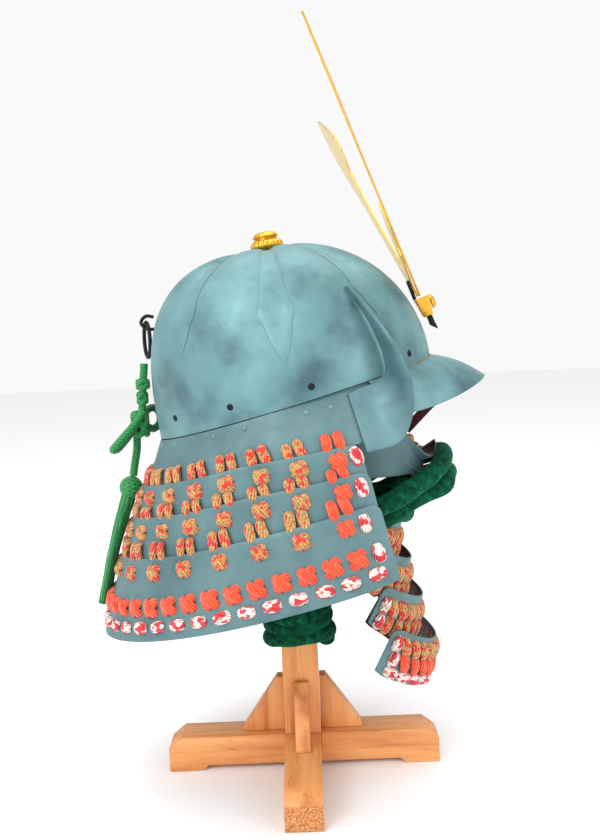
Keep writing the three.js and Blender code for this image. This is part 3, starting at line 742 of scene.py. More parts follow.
@cache
def strand_tree() -> bpy.types.NodeTree:
    """Builds the tree that turns the edges of a mesh into thin round strands.

    Returns:
        The tree, with the strands' radius, its spread and its seed as inputs.
    """
    own = {
        "Radius": ("Float", 0.0006),
        "Radius Spread": ("Float", 0.0),
        "Sides": ("Int", 5),
        "Seed": ("Int", 1),
    }
    tree, given = repeat_tree("Strands along edges", own)
    curves = add_node(tree, "GeometryNodeMeshToCurve", {}, {"Mesh": given["Geometry"]})
    small, large = (calc(tree, way, 1.0, given["Radius Spread"]) for way in ("SUBTRACT", "ADD"))
    spread = random_of(tree, given["Seed"], small, large)
    radius = calc(tree, "MULTIPLY", given["Radius"], spread)
    run = add_node(tree, "GeometryNodeSplineParameter").outputs["Length"]
    section = add_node(
        tree, "GeometryNodeCurvePrimitiveCircle", {}, {"Resolution": given["Sides"], "Radius": 1.0}
    )
    curve = stored(tree, curves.outputs[0], "POINT", "run", run)
    sized = add_node(tree, "GeometryNodeSetCurveRadius", {}, {"Curve": curve, "Radius": radius})
    inputs = {"Curve": sized.outputs[0], "Profile Curve": section.outputs[0], "Fill Caps": True}
    swept = add_node(tree, "GeometryNodeCurveToMesh", {}, inputs)
    if "Scale" in swept.inputs:
        feed(tree, swept, {"Scale": radius})
    return finish_tree(tree, swept.outputs[0], given)


def grown(base: bpy.types.Object, tree: bpy.types.NodeTree, values: dict[str, Any]) -> bpy.types.Object:
    """Runs a Geometry Nodes tree on an object and keeps the result as its mesh.

    Args:
        base: The object that carries the points or edges.
        tree: The tree.
        values: Its named inputs.

    Returns:
        The same object, with a plain mesh and no modifier.
    """
    modifier = base.modifiers.new("Repeat", "NODES")
    modifier.node_group = tree
    for item in tree.interface.items_tree:
        if item.in_out == "INPUT" and item.name in values:
            modifier[item.identifier] = values[item.name]
    return settled(base, sharp=60)


def stamped(
    name: str,
    shape: bpy.types.Object,
    place: Placement,
    points: Array,
    facing: Array,
    along: Array,
    finish: "Finish",
    seed: int,
    size_spread: float = 0.0,
    turn_spread: float = 0.0,
) -> bpy.types.Object:
    """Sets a shape at every point, standing on the surface there.

    Args:
        name: The object's name.
        shape: The shape, whose Z stands off the surface and whose X lies along it.
            It is removed.
        place: The axes that the points and directions are in.
        points: Where each one goes, in millimetres.
        facing: The way that the surface faces at each point.
        along: The way along the surface at each point.
        finish: The finish.
        seed: Seed of the small random differences.
        size_spread: How much the sizes differ, as a share.
        turn_spread: How much the shapes are turned, in radians.

    Returns:
        One plain object with all of them.
    """
    mesh = bpy.data.meshes.new(name)
    mesh.from_pydata(place.row(points).tolist(), [], [])
    origin = place.row(np.zeros(3))
    for label, vectors in (("facing", facing), ("along", along)):
        attribute = mesh.attributes.new(label, "FLOAT_VECTOR", "POINT")
        attribute.data.foreach_set("vector", (place.row(vectors) - origin).astype(np.float32).ravel())
    values = {
        "Shape": shape,
        "Size": 1.0,
        "Size Spread": size_spread,
        "Turn Spread": turn_spread,
        "Seed": seed,
        "Finish": material_of(finish),
    }
    piece = grown(linked(name, mesh), stamping_tree(), values)
    bpy.data.objects.remove(shape)
    return piece


# ------------------------------------------------------------------ finishes


@cache
def linear(code: str) -> Any:
    """The linear RGBA of an sRGB hex colour."""
    levels = [int(code[i : i + 2], 16) / 255 for i in (1, 3, 5)]
    return tuple(v / 12.92 if v <= 0.04045 else ((v + 0.055) / 1.055) ** 2.4 for v in levels) + (1.0,)


@cache
def material_of(finish: "Finish") -> bpy.types.Material:
    """The material of a finish, made once."""
    material = bpy.data.materials.new(finish.name)
    material.use_nodes = True
    tree = material.node_tree
    tree.nodes.clear()
    shader = add_node(tree, "ShaderNodeBsdfPrincipled")
    add_node(tree, "ShaderNodeOutputMaterial", {}, {"Surface": shader.outputs[0]})
    feed(tree, shader, finish.paint(tree))
    return material


def blend(tree: bpy.types.NodeTree, share: Any, low: Any, high: Any) -> Any:
    """Mixes two colours, hex or sockets, by a share and gives the colour's socket."""
    low, high = (linear(value) if isinstance(value, str) else value for value in (low, high))
    return add_node(tree, "ShaderNodeMix", {"data_type": "RGBA"}, {0: share, 6: low, 7: high}).outputs[2]


def stops(
    tree: bpy.types.NodeTree, share: Any, rows: Sequence[tuple[float, str]], hard: bool = False
) -> Any:
    """Looks a share up in a colour ramp.

    Args:
        tree: The material's tree.
        share: The socket with the share.
        rows: Each stop's place and colour, as sRGB hex.
        hard: Whether each colour runs unmixed to the next stop.

    Returns:
        The colour's socket.
    """
    node = add_node(tree, "ShaderNodeValToRGB", {}, {0: share})
    ramp = node.color_ramp
    ramp.interpolation = "CONSTANT" if hard else "LINEAR"
    while len(ramp.elements) > 1:
        ramp.elements.remove(ramp.elements[-1])
    ramp.elements[0].position, ramp.elements[0].color = rows[0][0], linear(rows[0][1])
    for place, code in rows[1:]:
        ramp.elements.new(place).color = linear(code)
    return node.outputs[0]


def span(tree: bpy.types.NodeTree, value: Any, low: float, high: float, to: tuple[float, float]) -> Any:
    """Maps a value's range onto another, clamped, and gives the socket."""
    inputs = {0: value, 1: low, 2: high, 3: to[0], 4: to[1]}
    return add_node(tree, "ShaderNodeMapRange", {}, inputs).outputs[0]


def noise(tree: bpy.types.NodeTree, where: Any, size: float, detail: float = 3, seed: float = 0) -> Any:
    """Noise whose blotches are about `size` millimetres, and gives its socket."""
    inputs = {"Vector": where, "W": seed, "Scale": 1 / (size * MM), "Detail": detail}
    return add_node(tree, "ShaderNodeTexNoise", {"noise_dimensions": "4D"}, inputs).outputs[0]


def bump(tree: bpy.types.NodeTree, height: Any, depth: float, share: float, before: Any = None) -> Any:
    """A bump of a depth in millimetres, and gives its normal's socket."""
    inputs = {"Height": height, "Distance": depth * MM, "Strength": share}
    if before is not None:
        inputs["Normal"] = before
    return add_node(tree, "ShaderNodeBump", {}, inputs).outputs[0]


def place_of(tree: bpy.types.NodeTree, output: str = "Object") -> Any:
    """The Texture Coordinate node's socket of that name."""
    return add_node(tree, "ShaderNodeTexCoord").outputs[output]


def scaled(tree: bpy.types.NodeTree, where: Any, scale: Sequence[float]) -> Any:
    """A place scaled along each axis, and gives its socket."""
    return add_node(tree, "ShaderNodeMapping", {}, {0: where, "Scale": scale}).outputs[0]


@dataclass(frozen=True)
class Finish:
    """A surface finish; each kind paints its own nodes."""

    name: str

    def paint(self, tree: bpy.types.NodeTree) -> dict[str, Any]:
        """Adds the finish's nodes and gives the shader's inputs. A plain one has none."""
        return {}


@dataclass(frozen=True)
class Patina(Finish):
    """Iron plate under a rubbed blue-green patina, waxed: satin, cloudy, a little
    darker where hands don't polish it."""

    base: str = "#5f898c"
    dark: str = "#42626a"
    pale: str = "#739da1"
    metallic: float = 0.35
    rough: float = 0.46

    def paint(self, tree: bpy.types.NodeTree) -> dict[str, Any]:
        """Adds clouds 45 mm across, streaks 9 mm across and a fine grain."""
        where = place_of(tree)
        clouds, streaks = noise(tree, where, 45, 4), noise(tree, where, 9, 5, 3)
        colour = stops(tree, clouds, [(0.3, self.dark), (0.48, self.base), (0.72, self.pale)])
        grain = noise(tree, where, 0.9, 2, 5)
        return {
            "Base Color": blend(tree, span(tree, streaks, 0.55, 0.8, (0, 0.28)), colour, self.dark),
            "Metallic": self.metallic,
            "Roughness": span(tree, streaks, 0.3, 0.7, (self.rough - 0.05, self.rough + 0.08)),
            "Normal": bump(tree, clouds, 0.6, 0.15, bump(tree, grain, 0.08, 0.35)),
        }


@dataclass(frozen=True)
class Gilt(Finish):
    """Fire-gilt copper: warm and bright, with soft wear that shows as duller
    patches."""

    colour: str = "#e0a93c"
    dull: str = "#a87a2c"
    rough: float = 0.24

    def paint(self, tree: bpy.types.NodeTree) -> dict[str, Any]:
        """Adds wear in patches 7 mm across and a faint unevenness."""
        where = place_of(tree)
        wear = noise(tree, where, 7, 5)
        return {
            "Base Color": blend(tree, span(tree, wear, 0.5, 0.78, (0, 0.7)), self.colour, self.dull),
            "Metallic": 1.0,
            "Roughness": span(tree, wear, 0.3, 0.75, (self.rough, self.rough + 0.16)),
            "Normal": bump(tree, noise(tree, where, 3, 3, 2), 0.15, 0.3),
        }


@dataclass(frozen=True)
class Iron(Finish):
    """Blackened forged iron: nearly black, with hammer marks a few millimetres
    across."""

    colour: str = "#26282b"
    low: str = "#17181a"
    high: str = "#3b3f43"

    def paint(self, tree: bpy.types.NodeTree) -> dict[str, Any]:
        """Adds hammer marks and a mottled sheen."""
        marks = noise(tree, place_of(tree), 4, 3)
        return {
            "Base Color": stops(tree, marks, [(0.35, self.low), (0.6, self.colour), (0.75, self.high)]),
            "Metallic": 0.8,
            "Roughness": span(tree, marks, 0.3, 0.7, (0.38, 0.6)),
            "Normal": bump(tree, marks, 0.4, 0.5),
        }


@dataclass(frozen=True)
class Lacquer(Finish):
    """Urushi lacquer on the inside of the plates: deep, smooth and a little
    glossy."""

    colour: str = "#2a100d"
    thin: str = "#451b14"
    rough: float = 0.3

    def paint(self, tree: bpy.types.NodeTree) -> dict[str, Any]:
        """Adds brush unevenness 12 mm across."""
        cloud = noise(tree, place_of(tree), 12, 3)
        return {
            "Base Color": blend(tree, span(tree, cloud, 0.3, 0.75, (0, 0.5)), self.colour, self.thin),
            "Roughness": span(tree, cloud, 0.3, 0.7, (self.rough, self.rough + 0.12)),
            "Normal": bump(tree, cloud, 0.3, 0.25),
        }


@dataclass(frozen=True)
class Wood(Finish):
    """Oiled hardwood, planed: long open pores along the grain, rings across it and
    a speckled end grain."""

    grain: tuple[float, float, float] = (0.0, 0.0, 1.0)
    light: str = "#dd9557"
    deep: str = "#b9682f"
    stretch: float = 14.0

    def paint(self, tree: bpy.types.NodeTree) -> dict[str, Any]:
        """Adds figure 14 mm apart, pores 1 mm apart and end-grain specks."""
        where = place_of(tree)
        long = scaled(tree, where, tuple(1 - (1 - 1 / self.stretch) * abs(g) for g in self.grain))
        figure, pores = noise(tree, long, 14, 4), noise(tree, long, 1.1, 3, 4)
        colour = stops(tree, figure, [(0.3, self.deep), (0.5, self.light), (0.7, "#e7a86c")])
        colour = blend(tree, span(tree, pores, 0.58, 0.74, (0, 0.55)), colour, "#8a4a22")
        facing = {0: place_of(tree, "Normal"), 1: self.grain}
        end = add_node(tree, "ShaderNodeVectorMath", {"operation": "DOT_PRODUCT"}, facing)
        end = span(tree, calc(tree, "ABSOLUTE", end.outputs["Value"]), 0.8, 0.95, (0, 1))
        specks = noise(tree, where, 1.4, 3, 7)
        ends = stops(tree, specks, [(0.38, "#8f5128"), (0.5, "#c98248"), (0.66, "#e0a368")])
        return {
            "Base Color": blend(tree, end, colour, ends),
            "Roughness": 0.5,
            "Normal": bump(tree, pores, 0.15, 0.35),
        }


@dataclass(frozen=True)
class Velvet(Finish):
    """Silk velvet over a padded cord: a deep pile that is dark face on and glows
    at its edges, brushed in small patches."""

    base: str = "#01492f"
    dark: str = "#012a1c"
    pale: str = "#0a6b47"
    glow: str = "#2f9f72"

    def paint(self, tree: bpy.types.NodeTree) -> dict[str, Any]:
        """Adds brushed patches 6 mm across and a pile 0.7 mm across."""
        where = place_of(tree)
        patches, pile = noise(tree, where, 6, 4), noise(tree, where, 0.7, 2, 3)
        return {
            "Base Color": stops(tree, patches, [(0.33, self.dark), (0.52, self.base), (0.74, self.pale)]),
            "Roughness": 0.95,
            "Specular IOR Level": 0.15,
            "Sheen Weight": 0.55,
            "Sheen Roughness": 0.35,
            "Sheen Tint": linear(self.glow),
            "Normal": bump(tree, patches, 1.2, 0.4, bump(tree, pile, 0.35, 0.7)),
        }


@dataclass(frozen=True)
class Braid(Finish):
    """Braided silk cord: two sets of slanting plaits that cross, with shine along each and painted shade in the
    grooves between them."""

    base: str = "#0d9140"
    # colour of the painted shade in the grooves between the plaits
    dark: str = "#05602a"
    pitch: float = 3.2
    plaits: int = 8

    def paint(self, tree: bpy.types.NodeTree) -> dict[str, Any]:
        """Adds crossing waves from the UV map, `pitch` millimetres apart, and darkens their low parts, the grooves
        between the plaits, as painted shade.
        """
        parts = add_node(tree, "ShaderNodeSeparateXYZ", {}, {0: place_of(tree, "UV")}).outputs
        run = calc(tree, "MULTIPLY", parts[0], 2 * math.pi / self.pitch)
        turn = calc(tree, "MULTIPLY", parts[1], math.pi * self.plaits)
        waves = [calc(tree, "SINE", calc(tree, way, run, turn)) for way in ("ADD", "SUBTRACT")]
        share = span(tree, calc(tree, "MAXIMUM", *waves), -0.5, 0.9, (0, 1))
        return {
            # painted shade: the low parts of the waves, the grooves, take the dark colour
            "Base Color": blend(tree, share, self.dark, self.base),
            "Roughness": 0.55,
            "Sheen Weight": 0.2,
            "Normal": bump(tree, share, 0.6, 0.8),
        }


@dataclass(frozen=True)
class Floss(Finish):
    """Loose silk floss in the tassel: fine threads with a soft shine down their
    length."""

    base: str = "#0c9142"
    dark: str = "#05632c"

    def paint(self, tree: bpy.types.NodeTree) -> dict[str, Any]:
        """Adds threads stretched 20 times down the tassel."""
        threads = noise(tree, scaled(tree, place_of(tree), (1, 1, 1 / 20)), 0.8, 2)
        return {
            "Base Color": blend(tree, span(tree, threads, 0.3, 0.7, (0, 1)), self.dark, self.base),
            "Roughness": 0.5,
            "Sheen Weight": 0.25,
            "Normal": bump(tree, threads, 0.3, 0.5),
        }


@dataclass(frozen=True)
class Yarn(Finish):
    """Soft woollen lacing yarn, several threads laid side by side, in flecks of its own colours, with painted shade in
    the furrows between the threads."""

    flecks: tuple[tuple[float, str], ...] = ((0.0, "#ff5a35"),)
    threads: int = 9
    length: float = 5.0
    # colour of the painted shade in the furrows between the threads
    furrow: str = "#5a1a12"

    def paint(self, tree: bpy.types.NodeTree) -> dict[str, Any]:
        """Adds flecks along the threads, the threads' own twist, and painted shade in the furrows between the threads.
        """
        uv = place_of(tree, "UV")
        own = {"attribute_type": "GEOMETRY", "attribute_name": "shade"}
        shade = add_node(tree, "ShaderNodeAttribute", own).outputs["Fac"]
        along = scaled(tree, uv, (1 / self.length, self.threads * 0.55, 1))
        inputs = {
            "Vector": along,
            "W": calc(tree, "MULTIPLY", shade, 40.0),
            "Scale": 1.0,
            "Detail": 1.5,
            "Roughness": 0.6,
        }
        fleck = add_node(tree, "ShaderNodeTexNoise", {"noise_dimensions": "4D"}, inputs).outputs[0]
        parts = add_node(tree, "ShaderNodeSeparateXYZ", {}, {0: uv}).outputs
        run = calc(tree, "MULTIPLY", parts[0], 1.1)
        turn = calc(tree, "MULTIPLY_ADD", parts[1], 2 * math.pi * self.threads, run)
        ridge = calc(tree, "SINE", turn)
        # painted shade: the furrows, where the ridges are low, darken towards the furrow colour
        deep = span(tree, ridge, -1, -0.2, (0.45, 0))
        fuzz = noise(tree, place_of(tree), 0.6, 2)
        return {
            "Base Color": blend(tree, deep, stops(tree, fleck, self.flecks, hard=True), self.furrow),
            "Roughness": 0.85,
            "Specular IOR Level": 0.2,
            "Sheen Weight": 0.3,
            "Normal": bump(tree, ridge, 0.7, 0.8, bump(tree, fuzz, 0.3, 0.5)),
        }


@dataclass(frozen=True)
class Cloth(Finish):
    """Plain-woven cloth binding."""

    colour: str = "#4c1a2b"
    shadow: str = "#2c0e19"

    def paint(self, tree: bpy.types.NodeTree) -> dict[str, Any]:
        """Adds a weave 0.8 mm apart."""
        weave = noise(tree, place_of(tree), 0.8, 2)
        return {
            "Base Color": blend(tree, span(tree, weave, 0.3, 0.7, (0, 0.6)), self.colour, self.shadow),
            "Roughness": 0.9,
            "Normal": bump(tree, weave, 0.3, 0.6),
        }


@dataclass(frozen=True)
class Paper(Finish):
    """Seamless white background paper."""

    def paint(self, tree: bpy.types.NodeTree) -> dict[str, Any]:
        """Adds a barely visible tooth."""
        share = span(tree, noise(tree, place_of(tree), 3, 2), 0.2, 0.8, (0, 1))
        return {"Base Color": blend(tree, share, "#f4f4f4", "#f7f7f7"), "Roughness": 0.9}


PATINA = Patina("Rubbed patina on iron")
# The bowl's patina made darker for the wings: painted shade over their outer faces.
SHADED_WING_PATINA = Patina("Rubbed patina on iron, wings", base="#557c80", dark="#3c5a61", pale="#66898d")
SLATE = Patina(
    "Slate lacquer on iron", base="#56777b", dark="#48666b", pale="#648589", metallic=0.25, rough=0.5
)
GILT = Gilt("Fire gilding")
PALE_GILT = Gilt("Satin gilding", colour="#eed9a6", dull="#d9bb84", rough=0.36)
# Gold leaf paled to cream: the gold's own colour with a painted reflection of the white floor mixed in.
GOLD_LACQUER_WITH_PAINTED_REFLECTION = Gilt("Gold leaf lacquer", colour="#e2cf9d", dull="#bda26b", rough=0.42)
IRON = Iron("Blackened iron")
INSIDE = Lacquer("Dark red lacquer")
WOOD_UPRIGHT = Wood("Oiled hardwood, upright grain")
WOOD_ALONG = Wood("Oiled hardwood, grain front to back", grain=(0.0, 1.0, 0.0))
WOOD_ACROSS = Wood("Oiled hardwood, grain side to side", grain=(1.0, 0.0, 0.0))
VELVET = Velvet("Dark green velvet")
BRAID = Braid("Green silk braid")
NET = Braid("Green silk netting", pitch=4.2, plaits=12)
FLOSS = Floss("Green silk floss")
MOTTLED = Yarn(
    "Mottled wool yarn",
    flecks=(
        (0.0, "#e2493c"),
        (0.41, "#e23a35"),
        (0.47, "#e8a356"),
        (0.54, "#8a9766"),
        (0.585, "#e9b066"),
        (0.63, "#e4553f"),
        (0.7, "#7f8f63"),
    ),
)
ORANGE = Yarn("Orange wool yarn", flecks=((0.0, "#fb5331"), (0.45, "#ff5d36"), (0.6, "#ff6a41")))
WHITE_RED = Yarn(
    "White and red wool yarn",
    flecks=((0.0, "#d9313b"), (0.42, "#e0454a"), (0.5, "#f6efe8"), (0.62, "#e7b7a6"), (0.68, "#d83540")),
    length=7.0,
)
MAROON = Cloth("Maroon cloth binding")
PAPER = Paper("White background paper")


# ------------------------------------------------------------------ bowl


@dataclass
class Bowl:
    """The eight-lobed bowl with its strips, rivets and gilt crown fitting."""

    half_length: float = 134.0
    half_width: float = 113.0
    crown: float = 143.5
    dip: float = 6.0
    wall: float = 2.0
    lobes: int = 8
    valley: float = 9.0
    middle: float = 30.0
    rim_lean: float = 7.0
    columns: int = 256
    rows: int = 72
    strip_start: float = 0.12
    strip_end: float = 0.8
    side_strip_end: float = 0.9
    strip_rise: float = 1.5
    # half widths along a strip: a blade with a shoulder and a leaf tip
    strip_widths: tuple[tuple[float, float], ...] = (
        (0.0, 3.5),
        (0.3, 6.2),
        (0.55, 8.7),
        (0.66, 11.2),
        (0.72, 12.8),
        (0.76, 12.0),
        (0.8, 9.8),
        (0.88, 7.6),
        (0.95, 3.6),
        (1.0, 0.4),
    )
    rivet_angles: tuple[float, ...] = (-35.7, -82.3, -113.6, -143.3, 35.7, 82.3, 113.6, 143.3)
    rivet_radius: float = 3.1
    finial_radius: float = 16.0
    finial_height: float = 20.0
    petals: int = 16
    # the crown fitting's radius and height as shares, and how deep its ribs are
    finial_rows: tuple[tuple[float, float, float], ...] = (
        (0.0, 0.0, 0.0),
        (0.7, 0.0, 0.0),
        (0.8, 0.06, 0.0),
        (0.84, 0.14, 0.2),
        (0.97, 0.24, 1.0),
        (1.0, 0.34, 1.0),
        (0.98, 0.46, 1.0),
        (0.86, 0.58, 1.0),
        (0.7, 0.64, 0.3),
        (0.67, 0.69, 0.0),
        (0.76, 0.74, 0.0),
        (0.78, 0.8, 0.0),
        (0.72, 0.86, 0.5),
        (0.62, 0.95, 0.9),
        (0.46, 1.0, 0.8),
        (0.3, 0.97, 0.2),
        (0.22, 1.0, 0.0),
        (0.12, 1.03, 0.0),
        (0.0, 1.04, 0.0),
    )

    def point(self, angle: Array, t: Array, proud: float = 0.0) -> Array:
        """Points of the bowl's inner skin, or proud of it.

        Args:
            angle: Angles from the front, in radians.
            t: Shares of the way from the crown to the rim.
            proud: How far outside the skin, in millimetres.

        Returns:
            The points in the helmet's axes.
        """
        power = 2.6 - 0.45 * np.cos(angle)
        sweep = np.clip(t, 0, 1) * math.pi / 2
        out, rise = np.sin(sweep) ** (2 / power), np.cos(sweep) ** (2 / power)
        rim = self.half_length * np.cos(angle) * math.tan(math.radians(self.rim_lean))
        up = rim + (self.crown - rim) * rise - self.dip * np.clip(1 - t / 0.16, 0, 1) ** 2
        fade = np.clip(t / 0.12, 0, 1) * np.clip((0.92 - t) / 0.5, 0, 1)
        points = at(
            self.half_width * np.sin(angle) * out, self.half_length * np.cos(angle) * out, up
        )
        outward = unit(points - np.array([0, 0, self.middle]))
        groove = (1 - np.abs(np.sin(angle * self.lobes / 2))) ** 1.5
        return points + outward * (proud - self.valley * groove * fade)[..., None]

    def skin(self) -> bpy.types.Object:
        """The bowl itself, with its wall outside the inner skin."""
        angle, t = np.meshgrid(
            np.linspace(0, 2 * math.pi, self.columns + 1), np.linspace(0, 1, self.rows + 1)
        )
        grid = HELMET.row(self.point(angle, t))
        piece = surface_mesh("bowl_shell", grid, centre=HELMET.row(np.array([0, 0, self.middle])))
        dress(piece, Slot.PATINA, PATINA, INSIDE)
        thicken(piece, self.wall, outward=True)
        piece.modifiers["Wall"].material_offset = 0
        settled(piece)
        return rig.replaces(piece, "bowl")

    def strip(self, number: int) -> bpy.types.Object:
        """One strip in a valley, ridged down its middle.

        Args:
            number: Which strip, from 1 at the front round to the left.

        Returns:
            The strip.
        """
        angle = 2 * math.pi * (number - 1) / self.lobes
        share = abs(math.sin(angle)) ** 8
        end = self.strip_end + (self.side_strip_end - self.strip_end) * share
        run = np.linspace(0, 1, 64)
        t = self.strip_start + (end - self.strip_start) * run
        half = np.interp(run, *zip(*self.strip_widths))
        # across and height of the section's corners
        section = np.array(
            [(-1, 0), (-1, 0.75), (-0.93, 1), (-0.5, 1.25), (0, 1.7)]
            + [(0.5, 1.25), (0.93, 1), (1, 0.75), (1, 0), (-1, 0)]
        )
        centre = self.point(np.full_like(t, angle), t)
        radius = np.hypot(centre[:, 0], centre[:, 1])
        angles = angle + (section[:, 0][None, :] * half[:, None]) / radius[:, None]
        flat = self.point(angles, np.broadcast_to(t[:, None], angles.shape), self.wall + 0.03)
        outward = unit(centre - np.array([0, 0, self.middle]))
        slim = np.clip(half / 5, 0.25, 1)
        lift = section[:, 1][None, :] * self.strip_rise / 1.7 * slim[:, None]
        grid = HELMET.row(flat + lift[..., None] * outward[:, None, :])
        piece = surface_mesh(f"strip_{number}", grid, caps=True)
        dress(piece, Slot.PATINA, PATINA)
        piece.data.set_sharp_from_angle(angle=math.radians(32))
        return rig.replaces(piece, f"bowl_strip_{number}")

    def finial(self) -> bpy.types.Object:
        """The crown fitting: a ribbed collar under a chrysanthemum."""
        rows = np.array(self.finial_rows)
        fine = np.linspace(0, len(rows) - 1, 90)
        radius, height, ribs = (np.interp(fine, range(len(rows)), rows[:, k]) for k in range(3))
        turn = np.linspace(0, 2 * math.pi, 8 * self.petals + 1)
        furrow = 1 - np.abs(np.cos(turn * self.petals / 2))
        reach = self.finial_radius * radius[:, None] * (1 - 0.1 * ribs[:, None] * furrow[None, :] ** 2)
        up = np.broadcast_to((self.finial_height * height)[:, None], reach.shape)
        base = self.crown - self.dip + self.wall + 0.05
        grid = HELMET.row(at(reach * np.sin(turn), reach * np.cos(turn), up + base))
        piece = surface_mesh("chrysanthemum", grid)
        return dress(piece, Slot.GILT, GILT, node="crown_finial")

    def rivets(self) -> bpy.types.Object:
        """Domed rivets just above the rim."""
        angle = np.radians(np.array(self.rivet_angles))
        t = np.where(np.abs(angle) < 1, 0.965, 0.975)
        points = self.point(angle, t, self.wall)
        facing = unit(points - self.point(angle, t, self.wall - 1))
        along = np.cross(np.array([0, 0, 1.0]), facing)
        shape = dome(self.rivet_radius, 1.5)
        return dress(stamped("bowl_rivets", shape, HELMET, points, facing, along, IRON, 5), Slot.IRON)

    def build(self) -> None:
        """Builds the bowl and all that is fixed to it."""
        self.skin()
        for number in range(1, self.lobes + 1):
            self.strip(number)
        self.finial()
        self.rivets()


def dome(radius: float, height: float) -> bpy.types.Object:
    """A rivet's domed head on its flat side.

    Args:
        radius: Its radius in millimetres.
        height: Its height in millimetres.

    Returns:
        The head, its flat side on z = 0.
    """
    climb = np.linspace(0, math.pi / 2, 7)
    turn = np.linspace(0, 2 * math.pi, 17)
    ring = radius * np.cos(climb)[:, None]
    up = np.broadcast_to(height * np.sin(climb)[:, None], (7, 17))
    grid = np.stack([ring * np.cos(turn), ring * np.sin(turn), up], -1)
    return surface_mesh("rivet_head", grid * MM, caps=True)


# ------------------------------------------------------------------ visor and wings


@dataclass
class Visor:
    """The visor: root along the rim's front, then out and down to a rounded edge."""

    spread: float = 60.0
    reach: float = 46.0
    drop: float = 36.0
    wall: float = 2.0
    bowl_half_width: float = 113.0
    bowl_half_length: float = 134.0

    def points(self, u: Array, v: Array) -> Array:
        """Points of the visor's top skin: u across from 0 to 1, v from root to edge."""
        angle = np.radians(-self.spread + 2 * self.spread * u)
        across = (2 * u - 1) ** 2
        start = at(
            (self.bowl_half_width + 1) * np.sin(angle),
            (self.bowl_half_length + 2.5) * np.cos(angle),
            -1.0,
        )
        out = self.reach * (1 - 0.25 * across)
        edge = at(
            (self.bowl_half_width - 8) * np.sin(angle) * (1 - 0.02 * across),
            (self.bowl_half_length + 2.5) * np.cos(angle) + out * (1 - 0.7 * across),
            -self.drop - 22 * across * (1 - across) - 1.2 * across,
        )
        arch = 3.5 * np.sin(math.pi * v)
        return start + (edge - start) * v[..., None] + at(0, arch * 0.5, arch)

    def build(self) -> None:
        """Builds the plate, with gold leaf on its underside, paled to cream by a painted reflection of the white
        floor.
        """
        u, v = np.meshgrid(np.linspace(0, 1, 97), np.linspace(0, 1, 25))
        below = RIM.row(at(0.0, 60.0, -150.0))
        grid = RIM.row(self.points(u, v))
        walled("visor_plate", "visor", grid, below, self.wall, Slot.PATINA, PATINA, GOLD_LACQUER_WITH_PAINTED_REFLECTION)


@dataclass
class Wings:
    """The two turned-back wings, edged in gilt on the side that faces forward."""

    wall: float = 1.8
    bulge: float = 5.0
    inner: tuple[tuple[float, float, float], ...] = (
        (83, 73, 84),
        (90, 81, 60),
        (93, 85, 40),
        (93, 87, 20),
        (93, 84, 2),
        (98, 72, -3),
        (103, 60, -4),
        (107, 48, -5),
    )
    outer: tuple[tuple[float, float, float], ...] = (
        (87, 76, 84),
        (102, 87, 57),
        (110, 95, 37),
        (118, 100.5, 12),
        (125, 100.7, -14),
        (127, 93, -38),
        (124, 77, -56),
        (121.5, 48.5, -57),
    )

    def build(self) -> None:
        """Builds the wing on each side."""
        run = np.linspace(0, 1, 81)
        rows = [catmull([at(*p) for p in edge], run) for edge in (self.inner, self.outer)]
        v = np.linspace(0, 1, 25)[None, :, None]
        grid = rows[0][:, None, :] * (1 - v) + rows[1][:, None, :] * v
        arch = np.sin(math.pi * np.minimum(1, 1.15 * run))[:, None]
        swell = self.bulge * np.sin(math.pi * v[..., 0]) * arch
        grid = grid + swell[..., None] * np.array([1.0, 0, 0])
        for side, name in ((1, "left"), (-1, "right")):
            own = RIM.row(grid * np.array([side, 1.0, 1.0]))
            # the wings' outer faces take the darkened patina, painted shade; their inner faces are gilt
            centre, finishes = RIM.row(at(0, 30, 0)), (SHADED_WING_PATINA, GILT)
            walled(f"wing_plate_{name}", f"wing_{name}", own, centre, self.wall, Slot.PATINA, *finishes)


# ------------------------------------------------------------------ lacing


@dataclass(frozen=True)
class Strand:
    """One flattened bundle of yarn: a path over the plate, its width and height."""

    path: tuple[tuple[float, float, float], ...]
    width: float
    height: float
    ripples: int = 6
    twist: float = 0.05

    def build(self) -> bpy.types.Object:
        """Makes the bundle, thinner where it dives into the plate."""
        path = smooth(self.path, 15)
        run = np.linspace(0, 1, 15)
        turn = np.linspace(0, 2 * math.pi, 25)
        twist = self.twist * 2 * math.pi * run[:, None] * path_length(path) / 3
        ripple = 1 + 0.07 * np.cos(self.ripples * turn[None, :] + twist)
        swell = 0.72 + 0.28 * np.sin(math.pi * run) ** 0.6
        radii = self.width / 2 * ripple * swell[:, None]
        return tube(
            "bundle", path * MM, radii * MM, sides=24, flat=self.height / self.width, lie=(0, 0, 1)
        )


def shape_of(strands: Sequence[Strand]) -> bpy.types.Object:
    """One shape to repeat, from its strands."""
    return joined("lace_shape", [strand.build() for strand in strands])


def crossed(wide: float, tall: float, rise: float, strand: float) -> tuple[Strand, Strand]:
    """Two bundles that cross: the second lies over the first.

    Args:
        wide: The cross's width in millimetres.
        tall: Its height down the plate.
        rise: How high it stands off the plate.
        strand: A bundle's width.

    Returns:
        The lower and the upper bundle.
    """
    x, y = (wide - strand) / 2 + 1, (tall - strand) / 2 + 1
    pair = []
    for way, shoulder, middle, height in ((1, 1.2, 0.33, 0.62), (-1, 1.6, 0.62, 0.66)):
        path = (
            (-x, -way * y, -1.5),
            (-0.75 * x, -0.75 * way * y, shoulder),
            (0, 0, middle * rise),
            (0.75 * x, 0.75 * way * y, shoulder),
            (x, way * y, -1.5),
        )
        pair.append(Strand(path, strand, height * rise))
    return pair[0], pair[1]


